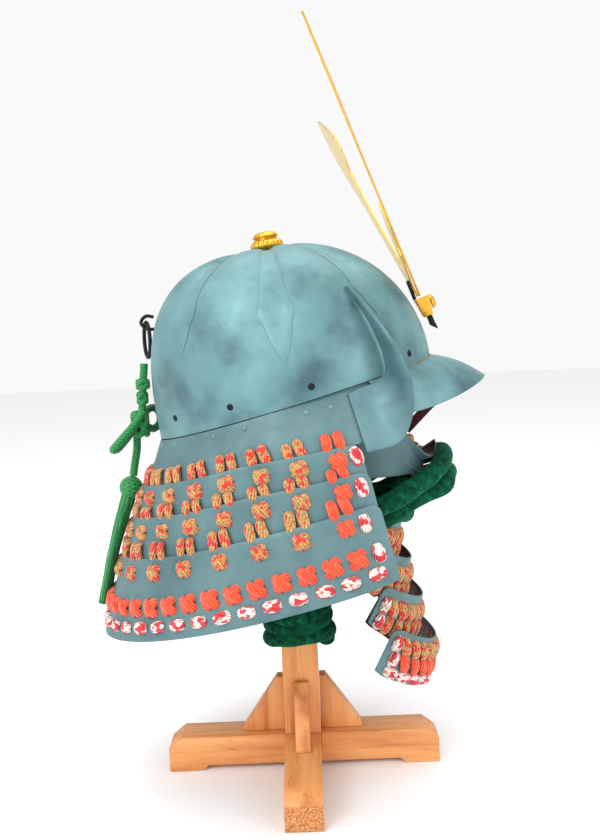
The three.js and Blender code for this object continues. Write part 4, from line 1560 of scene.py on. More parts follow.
def uprights(top: float, bottom: float, tall: float, rise: float, strand: float) -> tuple[Strand, Strand]:
    """Two bundles side by side that run down and part a little.

    Args:
        top: Distance between their tops.
        bottom: Distance between their feet.
        tall: Their height down the plate, from y = 0 up.
        rise: How high they stand off the plate.
        strand: A bundle's width.

    Returns:
        The two bundles.
    """
    pair = []
    for way in (-1, 1):
        points = [
            (way * top / 2, -tall, -1.5),
            (way * (0.75 * top + 0.25 * bottom) / 2, -0.85 * tall, 0.4 * rise),
            (way * (top + bottom) / 4, -0.45 * tall, 0.5 * rise),
            (way * bottom / 2, 0.1 * tall, 0.3 * rise),
            (way * bottom / 2, 0.35 * tall, -0.5),
        ]
        pair.append(Strand(tuple(points), strand, 0.85 * rise))
    return pair[0], pair[1]


CROSS = crossed(18.5, 17.0, 6.6, 9.2)
WIDE_CROSS = crossed(20.5, 20.0, 7.0, 9.6)
OVAL = (
    Strand(((-7.2, 0, -1), (-4.5, 0, 1), (0, 0, 1.6), (4.5, 0, 1), (7.2, 0, -1)), 10.5, 6.0),
)
UPRIGHT_OVAL = (Strand(((0, -7, -1), (0, -4, 1), (0, 0, 1.6), (0, 4, 1), (0, 7, -1)), 10.5, 6.0),)


# ------------------------------------------------------------------ neck guard


@dataclass(frozen=True)
class Lame:
    """One plate of the neck guard: depths below the rim and its rows of lacing."""

    node: str
    top: float
    bottom: float
    proud: float = 6.0
    front_edge: float = 43.0
    front_drop: float = 0.0
    crosses: float | None = None
    first: float = 22.0
    pairs: float = 0.0


@dataclass
class NeckGuard:
    """The neck band and the three laced lames below it."""

    centre: float = -10.0
    rear: float = 136.8
    rear_flare: float = 0.69
    side: float = 113.4
    side_flare: float = 0.29
    front: float = 140.0
    wall: float = 1.8
    corner: float = 9.0
    drop_length: float = 110.0
    columns: int = 17
    edge_columns: int = 30
    edge_depth: float = 135.5
    oval_depth: float = 151.5
    lames: tuple[Lame, ...] = (
        Lame("neck_band", 0.6, 48, proud=0, front_edge=70),
        Lame("neck_lame_1", 36, 76, front_drop=11, crosses=11.0, first=22, pairs=12.5),
        Lame("neck_lame_2", 62, 108, front_drop=8.5, crosses=12.7, first=26, pairs=7.5),
        Lame("neck_lame_3", 95, 163, front_drop=2.5, crosses=12.0, first=33, pairs=12.0),
    )
    # length from the front edge and depth of each rivet
    band_rivets: tuple[tuple[float, float], ...] = (
        (43, 11),
        (65, 9),
        (124, 6.5),
        (158, 6),
        (215, 5),
        (250, 5),
    )

    def cone(self, angle: Array, depth: Array, proud: Array | float = 0.0) -> Array:
        """Points of the guard's cone: angle from the front, depth below the rim."""
        back = self.rear + self.rear_flare * depth + self.centre
        reach = np.where(np.cos(angle) > 0, self.front, back)
        wide = self.side + self.side_flare * depth
        point = at(wide * np.sin(angle), self.centre + reach * np.cos(angle), -depth)
        return point + np.asarray(proud)[..., None] * at(np.sin(angle), np.cos(angle), 0 * angle)

    @cache
    def round(self, lame: Lame) -> Any:
        """Angles round a lame and the length from its right front edge to each."""
        end = math.acos((lame.front_edge - self.centre) / self.front)
        angle = np.linspace(-end, end - 2 * math.pi, 1201)
        depth = np.full_like(angle, (lame.top + lame.bottom) / 2)
        steps = np.linalg.norm(np.diff(self.cone(angle, depth), axis=0), axis=1)
        return angle, np.concatenate([[0.0], np.cumsum(steps)])

    def top_at(self, lame: Lame, length: Array) -> Array:
        """Depth of a lame's top edge, lower towards its two front ends."""
        total = self.round(lame)[1][-1]
        near = np.minimum(length, total - length)
        cut = np.clip(self.corner - near, 0, self.corner) if lame.proud else 0 * near
        rounding = self.corner - np.sqrt(self.corner**2 - cut**2)
        fall = np.clip(1 - near / self.drop_length, 0, 1) ** 1.2
        return lame.top + lame.front_drop * fall + rounding

    def on(self, lame: Lame, length: Array, depth: Array, off: float = 0.0) -> Array:
        """Points on a lame, or off it by a distance.

        Args:
            lame: The lame.
            length: Lengths from its right front edge, in millimetres.
            depth: Depths below the rim.
            off: How far outside the lame.

        Returns:
            The points in the rim's axes.
        """
        angle = np.interp(length, *reversed(self.round(lame)))
        stand = lame.proud * (1 - (depth - lame.top) / (lame.bottom - lame.top))
        return self.cone(angle, depth, stand + off)

    def plate(self, lame: Lame) -> bpy.types.Object:
        """One lame's plate, lacquered dark inside."""
        total = self.round(lame)[1][-1]
        ends = np.array([0, 0.8, 2, 4, 6.5, 9.0])
        inner = np.linspace(ends[-1], total - ends[-1], 180)
        length = np.concatenate([ends[:-1], inner, total - ends[-2::-1]])
        v = np.linspace(0, 1, 13)[:, None]
        top = self.top_at(lame, length)[None, :]
        depth = top + (lame.bottom - top) * v
        grid = RIM.row(self.on(lame, np.broadcast_to(length, depth.shape), depth))
        middle = RIM.row(at(0.0, -30.0, -60.0))
        name = f"{lame.node}_plate"
        return walled(name, lame.node, grid, middle, self.wall, Slot.SLATE, SLATE, INSIDE)

    def ways(self, lame: Lame, length: Array, depth: Array) -> tuple[Array, Array]:
        """The ways that a lame faces and runs at some of its points."""
        along = unit(self.on(lame, length + 0.5, depth) - self.on(lame, length - 0.5, depth))
        down = unit(self.on(lame, length, depth + 0.5) - self.on(lame, length, depth - 0.5))
        return np.cross(along, down), along

    def row_of(
        self,
        name: str,
        lame: Lame,
        length: Array,
        depth: Array | float,
        shape: Sequence[Strand],
        finish: Finish,
        seed: int,
    ) -> bpy.types.Object:
        """One row of laces on a lame.

        Args:
            name: The row's name.
            lame: The lame.
            length: Each lace's length from the right front edge.
            depth: Each lace's depth.
            shape: The strands of one lace.
            finish: The yarn.
            seed: Seed of the small random differences.

        Returns:
            The row as one piece.
        """
        depth = np.broadcast_to(depth, length.shape).astype(float)
        points, (facing, along) = self.on(lame, length, depth), self.ways(lame, length, depth)
        stamp, spreads = shape_of(shape), {"size_spread": 0.05, "turn_spread": 0.12}
        return dress(stamped(name, stamp, RIM, points, facing, along, finish, seed, **spreads), Slot.SLATE)

    def lace(self, number: int) -> None:
        """Laces one lame to the plate above it.

        Args:
            number: Which lame, from 1.
        """
        above, lame = self.lames[number - 1], self.lames[number]
        total = self.round(lame)[1][-1]
        length = np.linspace(lame.first, total - lame.first, self.columns)
        depth = self.top_at(lame, length) + lame.crosses
        ends, middle = [0, -1], slice(1, -1)
        label = f"lame_{number}"
        self.row_of(f"{label}_crosses", lame, length[middle], depth[middle], CROSS, MOTTLED, 11 * number)
        self.row_of(f"{label}_end_crosses", lame, length[ends], depth[ends], CROSS, ORANGE, 11 * number + 1)
        tips = np.array([lame.first - 16, total - lame.first + 16])
        self.row_of(
            f"{label}_end_stitches", lame, tips, depth[ends] + 1, UPRIGHT_OVAL, WHITE_RED, 11 * number + 2
        )
        # the same columns on the plate above, where the laces run up behind
        angle = np.interp(length, self.round(lame)[1], self.round(lame)[0])
        angles, lengths = self.round(above)
        higher = np.interp(-angle, -angles, lengths)
        low = self.top_at(lame, length) + 1.0
        pair = uprights(9.5, 12.5, lame.pairs + 1, 6.4, 9.0)
        self.row_of(f"{label}_pairs", above, higher[middle], low[middle], pair, MOTTLED, 11 * number + 3)
        self.row_of(f"{label}_end_pairs", above, higher[ends], low[ends], pair, ORANGE, 11 * number + 4)

    def edging(self) -> None:
        """Laces the orange row and the white and red stitches round the foot."""
        lame = self.lames[-1]
        total = self.round(lame)[1][-1]
        length = np.linspace(31, total - 31, self.edge_columns)
        self.row_of("edge_crosses", lame, length, self.edge_depth, WIDE_CROSS, ORANGE, 71)
        half = (length[1] - length[0]) / 2
        between = np.concatenate([[length[0] - 1.2 * half], length[:-1] + half, [length[-1] + 1.2 * half]])
        self.row_of("edge_stitches", lame, between, self.oval_depth, OVAL, WHITE_RED, 72)
        tips = np.array([12.5, total - 12.5])
        self.row_of("edge_end_stitches", lame, tips, self.edge_depth + 0.5, UPRIGHT_OVAL, WHITE_RED, 73)

    def rivets(self) -> bpy.types.Object:
        """Domed rivets on the band, in its own colour."""
        band = self.lames[0]
        total = self.round(band)[1][-1]
        near = np.array(self.band_rivets)
        length = np.concatenate([near[:, 0], total - near[:, 0]])
        depth = np.concatenate([near[:, 1]] * 2)
        points, (facing, along) = self.on(band, length, depth), self.ways(band, length, depth)
        shape = dome(2.6, 1.3)
        return dress(stamped("band_rivets", shape, RIM, points, facing, along, PATINA, 9), Slot.PATINA)

    def __hash__(self) -> int:
        """One guard is one key for the cached lengths."""
        return id(self)

    def build(self) -> None:
        """Builds the plates, their laces and their rivets."""
        for lame in self.lames:
            self.plate(lame)
        for number in range(1, len(self.lames)):
            self.lace(number)
        self.edging()
        self.rivets()


# ------------------------------------------------------------------ mask and throat guard


@dataclass
class Mask:
    """The half mask, plain and generic, with its row of gilt teeth."""

    centre: float = 68.0
    half_width: float = 70.0
    sweep: float = 104.0
    wall: float = 1.8
    dip: float = 14.0
    # reach at the front, height at the front and height at the cheeks
    rows: tuple[tuple[float, float, float], ...] = (
        (75, 323, 372),
        (62, 315, 350),
        (62, 288, 326),
        (76, 279, 312),
        (50, 268, 300),
    )

    def points(self, u: Array, v: Array) -> Array:
        """Points of the mask's outer skin: u across, v from lip to chin."""
        turn = np.radians(-self.sweep + 2 * self.sweep * u)
        rows = np.array(self.rows, float)
        place = v * (len(rows) - 1)
        reach, front, cheek = (np.interp(place, range(len(rows)), rows[:, k]) for k in range(3))
        side = np.abs(2 * u - 1)
        low, high = 0.2 - 0.1 * v, 0.85 - 0.35 * v
        share = np.clip((side - low) / (high - low), 0, 1)
        share = share * share * (3 - 2 * share)
        mouth = np.sin(math.pi * np.minimum(1, side / 0.7)) * (1 - v) ** 1.5
        up = front + (cheek - front) * share - self.dip * mouth
        reach = reach + (68 - reach) * share
        return at(self.half_width * np.sin(turn), self.centre + reach * np.cos(turn), up)

    def build(self) -> None:
        """Builds the mask and its teeth."""
        u, v = np.meshgrid(np.linspace(0, 1, 81), np.linspace(0, 1, 33))
        grid, centre = DESIGN.row(self.points(u, v)), DESIGN.row(at(0.0, 60.0, 330.0))
        walled("half_mask", "mask", grid, centre, self.wall, Slot.SLATE, SLATE, INSIDE, sharp=55)
        teeth = carried("mask_teeth", "teeth_row", 0.3)
        dress(teeth, Slot.GILT, GILT)


@dataclass(frozen=True)
class ThroatLame:
    """One lame of the throat guard: where it hangs and its size."""

    forward: float
    up: float
    reach: float
    half_width: float
    height: float


@dataclass
class ThroatGuard:
    """Four short lames hung from the mask, laced all over."""

    tip: float = 31.0
    sweep: float = 82.0
    wall: float = 1.8
    front_flare: float = 0.29
    side_flare: float = 0.15
    lames: tuple[ThroatLame, ...] = (
        ThroatLame(68, 270, 46, 52, 36),
        ThroatLame(73, 235, 50, 55, 39),
        ThroatLame(78, 200, 56, 59, 40),
        ThroatLame(84.3, 161, 62.7, 64, 46),
    )

    def on(self, lame: ThroatLame, turn: Array, drop: Array) -> Array:
        """Points on a lame: angle from its front in radians, distance below its top."""
        return at(
            (lame.half_width + self.side_flare * drop) * np.sin(turn),
            (lame.reach + self.front_flare * drop) * np.cos(turn),
            -drop,
        )

    def place(self, lame: ThroatLame) -> Placement:
        """Where a lame hangs."""
        return Placement(forward=lame.forward, up=lame.up, tilt=self.tip)

    def row_of(
        self,
        name: str,
        lame: ThroatLame,
        drop: float,
        count: int,
        spread: float,
        shape: Sequence[Strand],
        finish: Finish,
        seed: int,
    ) -> bpy.types.Object:
        """One row of laces round a lame.

        Args:
            name: The row's name.
            lame: The lame.
            drop: The row's distance below the lame's top.
            count: How many laces.
            spread: Angle from the front to the last lace, in degrees.
            shape: The strands of one lace.
            finish: The yarn.
            seed: Seed of the small random differences.

        Returns:
            The row as one piece.
        """
        turn = np.radians(np.linspace(-spread, spread, count))
        drops = np.full_like(turn, drop)
        points = self.on(lame, turn, drops)
        along = unit(self.on(lame, turn - 0.01, drops) - self.on(lame, turn + 0.01, drops))
        down = unit(self.on(lame, turn, drops + 0.5) - self.on(lame, turn, drops - 0.5))
        facing = np.cross(along, down)
        outward = points * np.array([1, 1, 0])
        if float((facing * outward).sum()) < 0:
            along, facing = -along, -facing
        place, stamp, spreads = self.place(lame), shape_of(shape), {"size_spread": 0.04, "turn_spread": 0.08}
        return dress(stamped(name, stamp, place, points, facing, along, finish, seed, **spreads), Slot.SLATE)

    def build(self) -> None:
        """Builds the four lames and their rows of laces."""
        slant = ((-4.5, 7.5, -1.5), (-2.8, 5, 1.4), (0, 0, 2.6), (2.8, -5, 1.6), (4.5, -7.5, -1.5))
        straight = ((0, -8, -1.5), (0, -6, 1.6), (0, 0, 2.4), (0, 6, 1.2), (0, 9, -1.5))
        rope, hanging = (Strand(slant, 10.5, 6.6),), (Strand(straight, 9.5, 5.6),)
        for index, lame in enumerate(self.lames):
            u, v = np.meshgrid(np.linspace(-1, 1, 61), np.linspace(0, 1, 9))
            corner = np.clip((np.abs(u) - 0.93) / 0.07, 0, 1) * 5
            drop = corner + (lame.height - 1.4 * corner) * v
            grid = self.place(lame).row(self.on(lame, np.radians(self.sweep) * u, drop))
            behind = self.place(lame).row(np.array([0.0, 20.0, -20.0]))
            name, node = f"throat_plate_{index + 1}", f"throat_lame_{index + 1}"
            walled(name, node, grid, behind, self.wall, Slot.SLATE, SLATE, INSIDE)
            label, seed = f"throat_{index + 1}", 100 + 10 * index
            last = index == len(self.lames) - 1
            first_row = 13.0 if last else 17.0
            self.row_of(f"{label}_rope", lame, first_row, 13, 66, rope, MOTTLED, seed)
            self.row_of(f"{label}_rope_ends", lame, first_row, 2, 74, UPRIGHT_OVAL, WHITE_RED, seed + 1)
            if last:
                self.row_of(f"{label}_edge", lame, 28, 12, 62, rope, ORANGE, seed + 2)
                self.row_of(f"{label}_edge_ends", lame, 28, 2, 72, UPRIGHT_OVAL, WHITE_RED, seed + 3)
                self.row_of(f"{label}_stitches", lame, 40, 12, 70, OVAL, WHITE_RED, seed + 4)
            else:
                self.row_of(f"{label}_hanging", lame, lame.height - 7, 13, 66, hanging, MOTTLED, seed + 5)
                self.row_of(
                    f"{label}_hanging_ends", lame, lame.height - 7, 2, 74, UPRIGHT_OVAL, WHITE_RED, seed + 6
                )


# ------------------------------------------------------------------ crest


def quadratic(start: Array, control: Array, end: Array, count: int) -> Array:
    """Points of a quadratic curve, without its start."""
    t = np.linspace(0, 1, count + 1)[1:, None]
    return (1 - t) ** 2 * start + 2 * t * (1 - t) * control + t**2 * end


@dataclass
class Crest:
    """Two horns and a centre blade on a holder over the visor."""

    forward: float = 133.0
    up: float = 463.0
    lean: float = 20.0
    turn: float = -2.6
    sweep: float = 5.7
    thick: float = 1.6
    horn_foot: tuple[tuple[float, float], ...] = ((9, 2), (22, 2))
    # each curve's control point and end, side and up; a straight one has no control
    horn_curves: tuple[tuple[tuple[float, float] | None, tuple[float, float]], ...] = (
        ((66, 60), (104, 108)),
        ((146, 150), (166, 178)),
        ((184, 204), (191, 232)),
        ((160, 222), (121, 194)),
        (None, (119, 198)),
        ((104, 176), (110, 150)),
        (None, (106, 152)),
        ((92, 120), (70, 92)),
        ((30, 45), (9, 2)),
    )
    blade_forward: float = -3.5
    # half width and height up the blade: a leaf with a waist above its foot
    blade: tuple[tuple[float, float], ...] = (
        (5, 6),
        (9, 30),
        (17, 44),
        (13, 52),
        (20, 72),
        (14, 84),
        (5, 93),
        (0, 100),
    )

    def matrix(self) -> Matrix:
        """From the crest's own axes, in metres, to the row frame."""
        place = DESIGN.row(at(0.0, self.forward, self.up))
        turned = Matrix.Rotation(math.radians(self.turn), 4, "Z")
        leant = Matrix.Rotation(-math.radians(self.lean), 4, "X")
        return Matrix.Translation(Vector(place)) @ turned @ leant

    def horn(self, side: int) -> bpy.types.Object:
        """One horn.

        Args:
            side: 1 for the wearer's left, -1 for the right.

        Returns:
            The horn.
        """
        points = [np.array(self.horn_foot, float)]
        for control, end in self.horn_curves:
            start, last = points[-1][-1], np.array(end, float)
            bend = (start + last) / 2 if control is None else np.array(control, float)
            points.append(quadratic(start, bend, last, 1 if control is None else 14))
        outline = np.vstack(points)[:-1]
        name = "left" if side > 0 else "right"
        piece = outline_plate(f"horn_plate_{name}", outline, self.thick)
        dress(piece, Slot.GILT, PALE_GILT, GILT)
        settled(piece)
        moved(piece, Matrix.Rotation(math.radians(self.sweep), 4, "Z"))
        if side < 0:
            moved(piece, Matrix.Diagonal((-1, 1, 1, 1)))
        moved(piece, self.matrix())
        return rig.replaces(piece, f"horn_{name}")

    def build(self) -> None:
        """Builds the horns and the blade, and dresses the small fittings."""
        for side in (1, -1):
            self.horn(side)
        half = np.array(self.blade, float)
        outline = np.vstack([half, (half * np.array([-1, 1]))[-2::-1]])
        blade = outline_plate("blade_plate", outline, self.thick)
        dress(blade, Slot.GILT, PALE_GILT, GILT)
        settled(blade)
        moved(blade, Matrix.Translation((0, -self.blade_forward * MM, 0)))
        moved(blade, self.matrix())
        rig.replaces(blade, "crest_blade")
        for node, finish, slot in (
            ("crest_holder", GILT, Slot.GILT),
            ("crest_boss", GILT, Slot.GILT),
            ("crest_prong", IRON, Slot.IRON),
            ("crest_hook", IRON, Slot.IRON),
        ):
            dress(carried(node, f"{node}_fitting", 0.5), slot, finish)


def carried(node: str, name: str, edge: float) -> bpy.types.Object:
    """A copy of a CAD node with eased edges, which stands for it.

    Args:
        node: The CAD node.
        name: The copy's name.
        edge: Width of its eased edges in millimetres.

    Returns:
        The copy.
    """
    source = bpy.data.objects[node]
    mesh = source.data.copy()
    mesh.transform(source.matrix_world)
    work = bmesh.new()
    work.from_mesh(mesh)
    bmesh.ops.remove_doubles(work, verts=work.verts, dist=2e-6)
    bmesh.ops.dissolve_limit(
        work, angle_limit=math.radians(1), verts=work.verts, edges=work.edges, delimit={"NORMAL"}
    )
    bmesh.ops.recalc_face_normals(work, faces=work.faces)
    work.to_mesh(mesh)
    work.free()
    piece = linked(name, mesh)
    ease(piece, edge)
    settled(piece)
    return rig.replaces(piece, node)


# ------------------------------------------------------------------ cords


@dataclass
class ChinCord:
    """The padded velvet cord: up from the post, three times under the chin."""

    radius: float = 9.0
    knot_radius: float = 31.0
    knot_low: float = 127.0
    knot_high: float = 164.0
    knot_turns: float = 3.1
    route: tuple[tuple[float, float, float], ...] = (
        (-30, 12, 190),
        (-40, 30, 212),
        (-70, 48, 244),
        (-66, 82, 263),
        (-48, 100, 262),
        (-24, 108, 257),
        (0, 110, 256),
        (24, 108, 257),
        (48, 100, 262),
        (66, 76, 260),
        (66, 30, 254),
        (34, -22, 250),
        (0, -36, 250),
        (-34, -22, 252),
        (-68, 30, 256),
        (-72, 68, 256),
        (-68, 88, 263),
        (-54, 116, 277),
        (-38, 144, 285),
        (-22, 149.5, 291),
        (0, 154, 292),
        (22, 149.5, 291),
        (38, 144, 285),
        (54, 116, 277),
        (68, 86, 262),
        (68, 30, 275),
        (34, -22, 272),
        (0, -36, 272),
        (-34, -22, 272),
        (-70, 30, 276),
        (-84, 70, 274),
        (-82, 88, 279),
        (-68, 115, 291),
        (-45.5, 137.5, 302),
        (-22, 147, 309),
        (0, 150, 311),
        (22, 147, 309),
        (45.5, 137.5, 302),
        (68, 115, 291),
        (82, 84, 280),
        (74, 48, 246),
        (30, 12, 190),
    )

    def soft_radii(self, path: Array, seed: int, share: float = 0.05) -> Array:
        """Radii in metres that swell and pinch a little along a padded cord."""
        run = np.concatenate([[0], np.cumsum(np.linalg.norm(np.diff(path, axis=0), axis=1))]) / MM
        chance = np.random.default_rng(seed)
        waves = [
            chance.uniform(0.4, 1) * np.sin(2 * math.pi * run / length + chance.uniform(0, 6.28))
            for length in (23, 37, 61)
        ]
        return self.radius * MM * (1 + share * np.sum(waves, axis=0) / 2)

    def build(self) -> None:
        path = DESIGN.row(smooth([at(*p) for p in self.route], 420))
        piece = tube("velvet_chin_cord", path, self.soft_radii(path, 3), sides=24)
        dress(piece, Slot.VELVET, VELVET, node="chin_cord")
        turn = np.linspace(0, 2 * math.pi * self.knot_turns, 220)
        share = turn / turn[-1]
        reach = self.knot_radius - 4 + 1.4 * np.sin(2.3 * turn)
        up = self.knot_low + (self.knot_high - self.knot_low) * share + 2.2 * np.sin(turn * 1.7)
        coil = DESIGN.row(at(reach * np.sin(turn), reach * np.cos(turn), up))
        wraps = tube("post_wraps", coil, self.soft_radii(coil, 8, 0.09), sides=20)
        dress(wraps, Slot.VELVET, VELVET, node="post_knot")
        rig.cord(
            piece,
            exit=tuple(path[0]),
            length=path_length(path),
            diameter=2 * self.radius * MM,
            far_end="object",
            stiffness="limp",
            lay="hanging",
            path=[tuple(p) for p in path],
            with_pieces=[wraps],
        )


@dataclass
class Tassel:
    """The iron ring, the braided cord with its bow, and the silk tassel."""

    cord_radius: float = 3.8
    ring_radius: float = 1.9
    ring_half_width: float = 11.0
    ring_half_height: float = 17.0
    ring_forward: float = -135.0
    ring_up: float = 434.0
    ring_turn: float = 24.0
    staple_radius: float = 1.7
    strands: int = 130
    head_radius: float = 11.5
    head_forward: float = -160.0
    head_up: float = 289.0
    route: tuple[tuple[float, float, float], ...] = (
        (0, -139.5, 411),
        (0, -140.5, 402),
        (0, -142, 392),
        (0, -143, 380),
        (0, -144, 369),
        (-5, -145, 361),
        (-14, -152, 351),
        (-20, -163, 339),
        (-20, -171, 330),
        (-12, -168, 330),
        (-8, -158, 341),
        (-2, -150, 352),
        (8, -144, 362),
        (18, -137, 366),
        (26, -132, 360),
        (26, -132, 350),
        (17, -137, 345),
        (6, -145, 349),
        (0, -150, 342),
        (0, -152, 326),
        (0, -155, 312),
        (0, -157, 301),
    )
    # forward, up, half width and half depth of the skirt's rings
    skirt: tuple[tuple[float, float, float, float], ...] = (
        (-162, 283, 8, 7),
        (-169, 264, 12, 6),
        (-181.5, 226, 13, 4.6),
        (-194.5, 174, 14, 4.4),
    )

    def cord(self) -> bpy.types.Object:
        """The braided cord, declared with the knots on it."""
        path = DESIGN.row(smooth([at(*p) for p in self.route], 300))
        piece = tube("braided_cord", path, self.cord_radius * MM)
        dress(piece, Slot.SILK, BRAID, node="tassel_cord")
        knots = self.knots()
        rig.cord(
            piece,
            exit=tuple(path[0]),
            length=path_length(path),
            diameter=2 * self.cord_radius * MM,
            far_end="fitting",
            stiffness="limp",
            lay="hanging",
            path=[tuple(p) for p in path],
            with_pieces=[knots],
        )
        return piece

    def knots(self) -> bpy.types.Object:
        """The round knot under the ring and the body of the bow."""
        turns = []
        rows = ((-142, 391, 5.2, 3.6), (-143.2, 377.5, 3.8, 5.0), (-147, 352, 7.0, 13.0))
        for forward, up, reach, high in rows:
            turn = np.linspace(0, 2 * math.pi, 121)
            wind = 3 if high > 8 else 2
            ring = at(
                reach * np.cos(wind * turn) * (0.9 + 0.1 * np.cos(5 * turn)),
                forward + reach * np.sin(wind * turn) * 0.9,
                up + high * np.sin((wind + 1) * turn + 0.4) * 0.8,
            )
            thick = (2.6 if high < 8 else 3.0) * MM
            turns.append(tube("knot_turn", DESIGN.row(ring), thick, sides=12, closed=True))
        piece = joined("bow_knots", turns)
        return dress(piece, Slot.SILK, BRAID)

    def head(self) -> bpy.types.Object:
        """The netted ball over the tassel."""
        climb = np.linspace(0, math.pi, 41)[:, None]
        turn = np.linspace(0, 2 * math.pi, 65)[None, :]
        reach = self.head_radius * (1 + 0.02 * np.cos(12 * turn) * np.sin(climb)) * np.sin(climb)
        grid = at(
            reach * np.cos(turn),
            self.head_forward + reach * np.sin(turn),
            self.head_up + self.head_radius * np.cos(climb) + 0 * turn,
        )
        uv = np.stack(np.broadcast_arrays(self.head_radius * climb, turn / (2 * math.pi)), -1)
        piece = surface_mesh("tassel_head", DESIGN.row(grid), uv=uv)
        return dress(piece, Slot.SILK, NET)

    def floss(self) -> bpy.types.Object:
        """The tassel's strands, gathered under the ball."""
        rings = np.array(self.skirt, float)
        chance = np.random.default_rng(12)
        points, edges = [], []
        levels = np.linspace(0, 1, 13)
        for _ in range(self.strands):
            turn, depth = chance.uniform(0, 2 * math.pi), math.sqrt(chance.uniform(0.05, 1))
            drift, end = chance.normal(0, 0.08), chance.uniform(0.965, 1.0)
            level = levels * end * (len(rings) - 1)
            forward, up, wide, deep = (
                np.interp(level, range(len(rings)), column) for column in rings.T
            )
            angle = turn + drift * levels
            strand = at(wide * depth * np.cos(angle), forward + deep * depth * np.sin(angle), up)
            start = len(points)
            points.extend(DESIGN.row(strand).tolist())
            edges.extend((start + k, start + k + 1) for k in range(len(levels) - 1))
        mesh = bpy.data.meshes.new("tassel_skirt")
        mesh.from_pydata(points, edges, [])
        values = {"Radius": 1.15 * MM, "Radius Spread": 0.25, "Sides": 6, "Seed": 4}
        values["Finish"] = material_of(FLOSS)
        piece = grown(linked("tassel_skirt", mesh), strand_tree(), values)
        return dress(piece, Slot.SILK, node="tassel")

    def iron(self) -> None:
        """The ring and the staple that it hangs from."""
        turn = np.linspace(0, 2 * math.pi, 97)
        spin = math.radians(self.ring_turn)
        across, up = self.ring_half_width * np.cos(turn), self.ring_half_height * np.sin(turn)
        ring = np.stack(
            [across * math.cos(spin), across * math.sin(spin) - self.ring_forward, up + self.ring_up], -1
        )
        piece = tube("iron_ring", DESIGN.row(ring), self.ring_radius * MM, sides=14, closed=True)
        dress(piece, Slot.IRON, IRON, node="tassel_ring")
        bend = [(0, -127.5, 456), (0, -135, 457), (0, -140, 451), (0, -135, 445), (0, -127.5, 444)]
        path = DESIGN.row(smooth([at(*p) for p in bend], 40))
        staple = tube("iron_staple", path, self.staple_radius * MM, sides=12)
        dress(staple, Slot.IRON, IRON, node="ring_staple")

    def build(self) -> None:
        """Builds the cord first, then what hangs on it."""
        self.cord()
        self.head()
        self.floss()
        self.iron()


# ------------------------------------------------------------------ stand


@dataclass
class Stand:
    """The wooden cross stand and the arm that carries the mask."""

    edge: float = 0.7

    def build(self) -> None:
        """Eases the edges of the wooden pieces and gives each its grain."""
        grain = {
            "base_bar_lengthways": WOOD_ALONG,
            "base_bar_crossways": WOOD_ACROSS,
            "post": WOOD_UPRIGHT,
            "gusset_left": WOOD_UPRIGHT,
            "gusset_right": WOOD_UPRIGHT,
            "gusset_front": WOOD_UPRIGHT,
            "gusset_back": WOOD_UPRIGHT,
            "mask_arm": WOOD_ALONG,
            "mask_upright": WOOD_UPRIGHT,
            "mask_rest": WOOD_ALONG,
            "top_block": WOOD_UPRIGHT,
        }
        for node, finish in grain.items():
            dress(carried(node, f"{node}_wood", self.edge), Slot.WOOD, finish)
        dress(carried("lining_strap", "lining_binding", 0.4), Slot.MAROON, MAROON)


# ------------------------------------------------------------------ studio


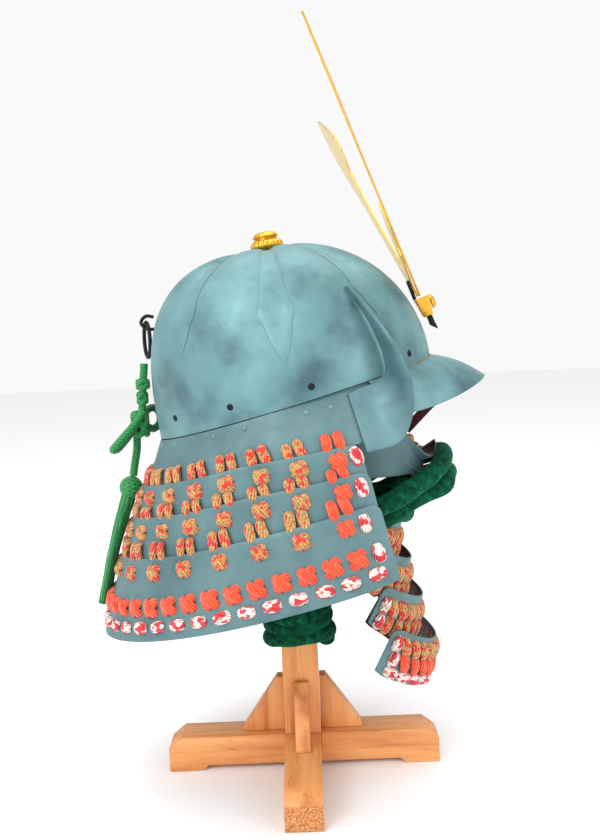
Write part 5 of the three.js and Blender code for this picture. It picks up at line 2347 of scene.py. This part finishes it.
@dataclass
class Studio:
    """White paper sweep, soft boxes and the camera."""

    focal: float = 25.9
    sensor: float = 24.0
    camera: tuple[float, float, float] = (-887.4, -19.4, 445.1)
    yaw: float = -0.010
    pitch: float = 0.108
    roll: float = -0.045

    def place_camera(self) -> None:
        """Sets the camera at the wearer's right, a little above and level with it."""
        forward = Vector(
            (
                math.cos(self.yaw) * math.cos(self.pitch),
                -math.sin(self.yaw) * math.cos(self.pitch),
                -math.sin(self.pitch),
            )
        )
        right = Vector((-math.sin(self.yaw), -math.cos(self.yaw), 0.0))
        up = right.cross(forward)
        cos, sin = math.cos(self.roll), math.sin(self.roll)
        across, over = right * cos + up * sin, up * cos - right * sin
        data = bpy.data.cameras.new("Camera")
        data.sensor_fit = "VERTICAL"
        data.sensor_height = self.sensor
        data.lens = self.focal
        data.clip_start, data.clip_end = 0.02, 50
        camera = bpy.data.objects.new("Camera", data)
        bpy.context.scene.collection.objects.link(camera)
        place = (np.array(self.camera) + row_shift()) * MM
        matrix = Matrix((across, over, -forward)).transposed().to_4x4()
        camera.matrix_world = Matrix.Translation(Vector(place)) @ matrix
        bpy.context.scene.camera = camera

    def soft_box(self, name: str, place: Sequence[float], size: float, power: float) -> None:
        """A square soft box that points at the helmet.

        Args:
            name: Its name.
            place: Where it stands, in metres.
            size: Its side in metres.
            power: Its power in watts.
        """
        data = bpy.data.lights.new(name, "AREA")
        data.shape, data.size, data.energy = "SQUARE", size, power
        light = bpy.data.objects.new(name, data)
        bpy.context.scene.collection.objects.link(light)
        light.location = place
        aim = Vector((0, 0, 0.36)) - Vector(place)
        light.rotation_euler = aim.to_track_quat("-Z", "Y").to_euler()

    def build(self) -> None:
        """Builds the floor, the lights and the world."""
        grid = np.array([[[x, y, -0.0005] for x in (-6.0, 6.0)] for y in (-6.0, 6.0)])
        floor = surface_mesh("floor_paper", grid, centre=(0, 0, -5))
        floor.data.materials.append(material_of(PAPER))
        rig.stage(floor)
        self.soft_box("Key", (-1.5, 1.1, 1.5), 1.3, 26)
        self.soft_box("Fill", (-1.3, -1.7, 0.9), 1.4, 12)
        self.soft_box("Top", (0.1, 0.0, 2.1), 1.6, 18)
        world = bpy.data.worlds.new("Studio")
        world.use_nodes = True
        back = world.node_tree.nodes["Background"]
        back.inputs[0].default_value = (1, 1, 1, 1)
        back.inputs[1].default_value = 0.95
        bpy.context.scene.world = world
        bpy.context.scene.view_settings.view_transform = "Standard"


def main() -> None:
    """Builds the whole kabuto round its frame and writes its sizes to a file."""
    logging.basicConfig(level=logging.INFO, format="%(name)s %(message)s")
    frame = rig.load()
    LOG.info("frame with %d nodes", len(frame["nodes"]))
    cad = [list(map(float, corner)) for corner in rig.bounds()]
    studio = Studio()
    studio.place_camera()
    for kind in (ChinCord, Tassel, Bowl, Visor, Wings, NeckGuard, Mask, ThroatGuard, Crest, Stand):
        LOG.info("building %s", kind.__name__)
        kind().build()
    studio.build()
    sizes = {"cad": cad, "visual": [list(map(float, corner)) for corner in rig.bounds()]}
    with open(SIZE_FILE, "w", encoding="utf-8") as file:
        json.dump(sizes, file, indent=1)
    LOG.info("sizes %s", sizes)


if __name__ == "__main__":
    main()
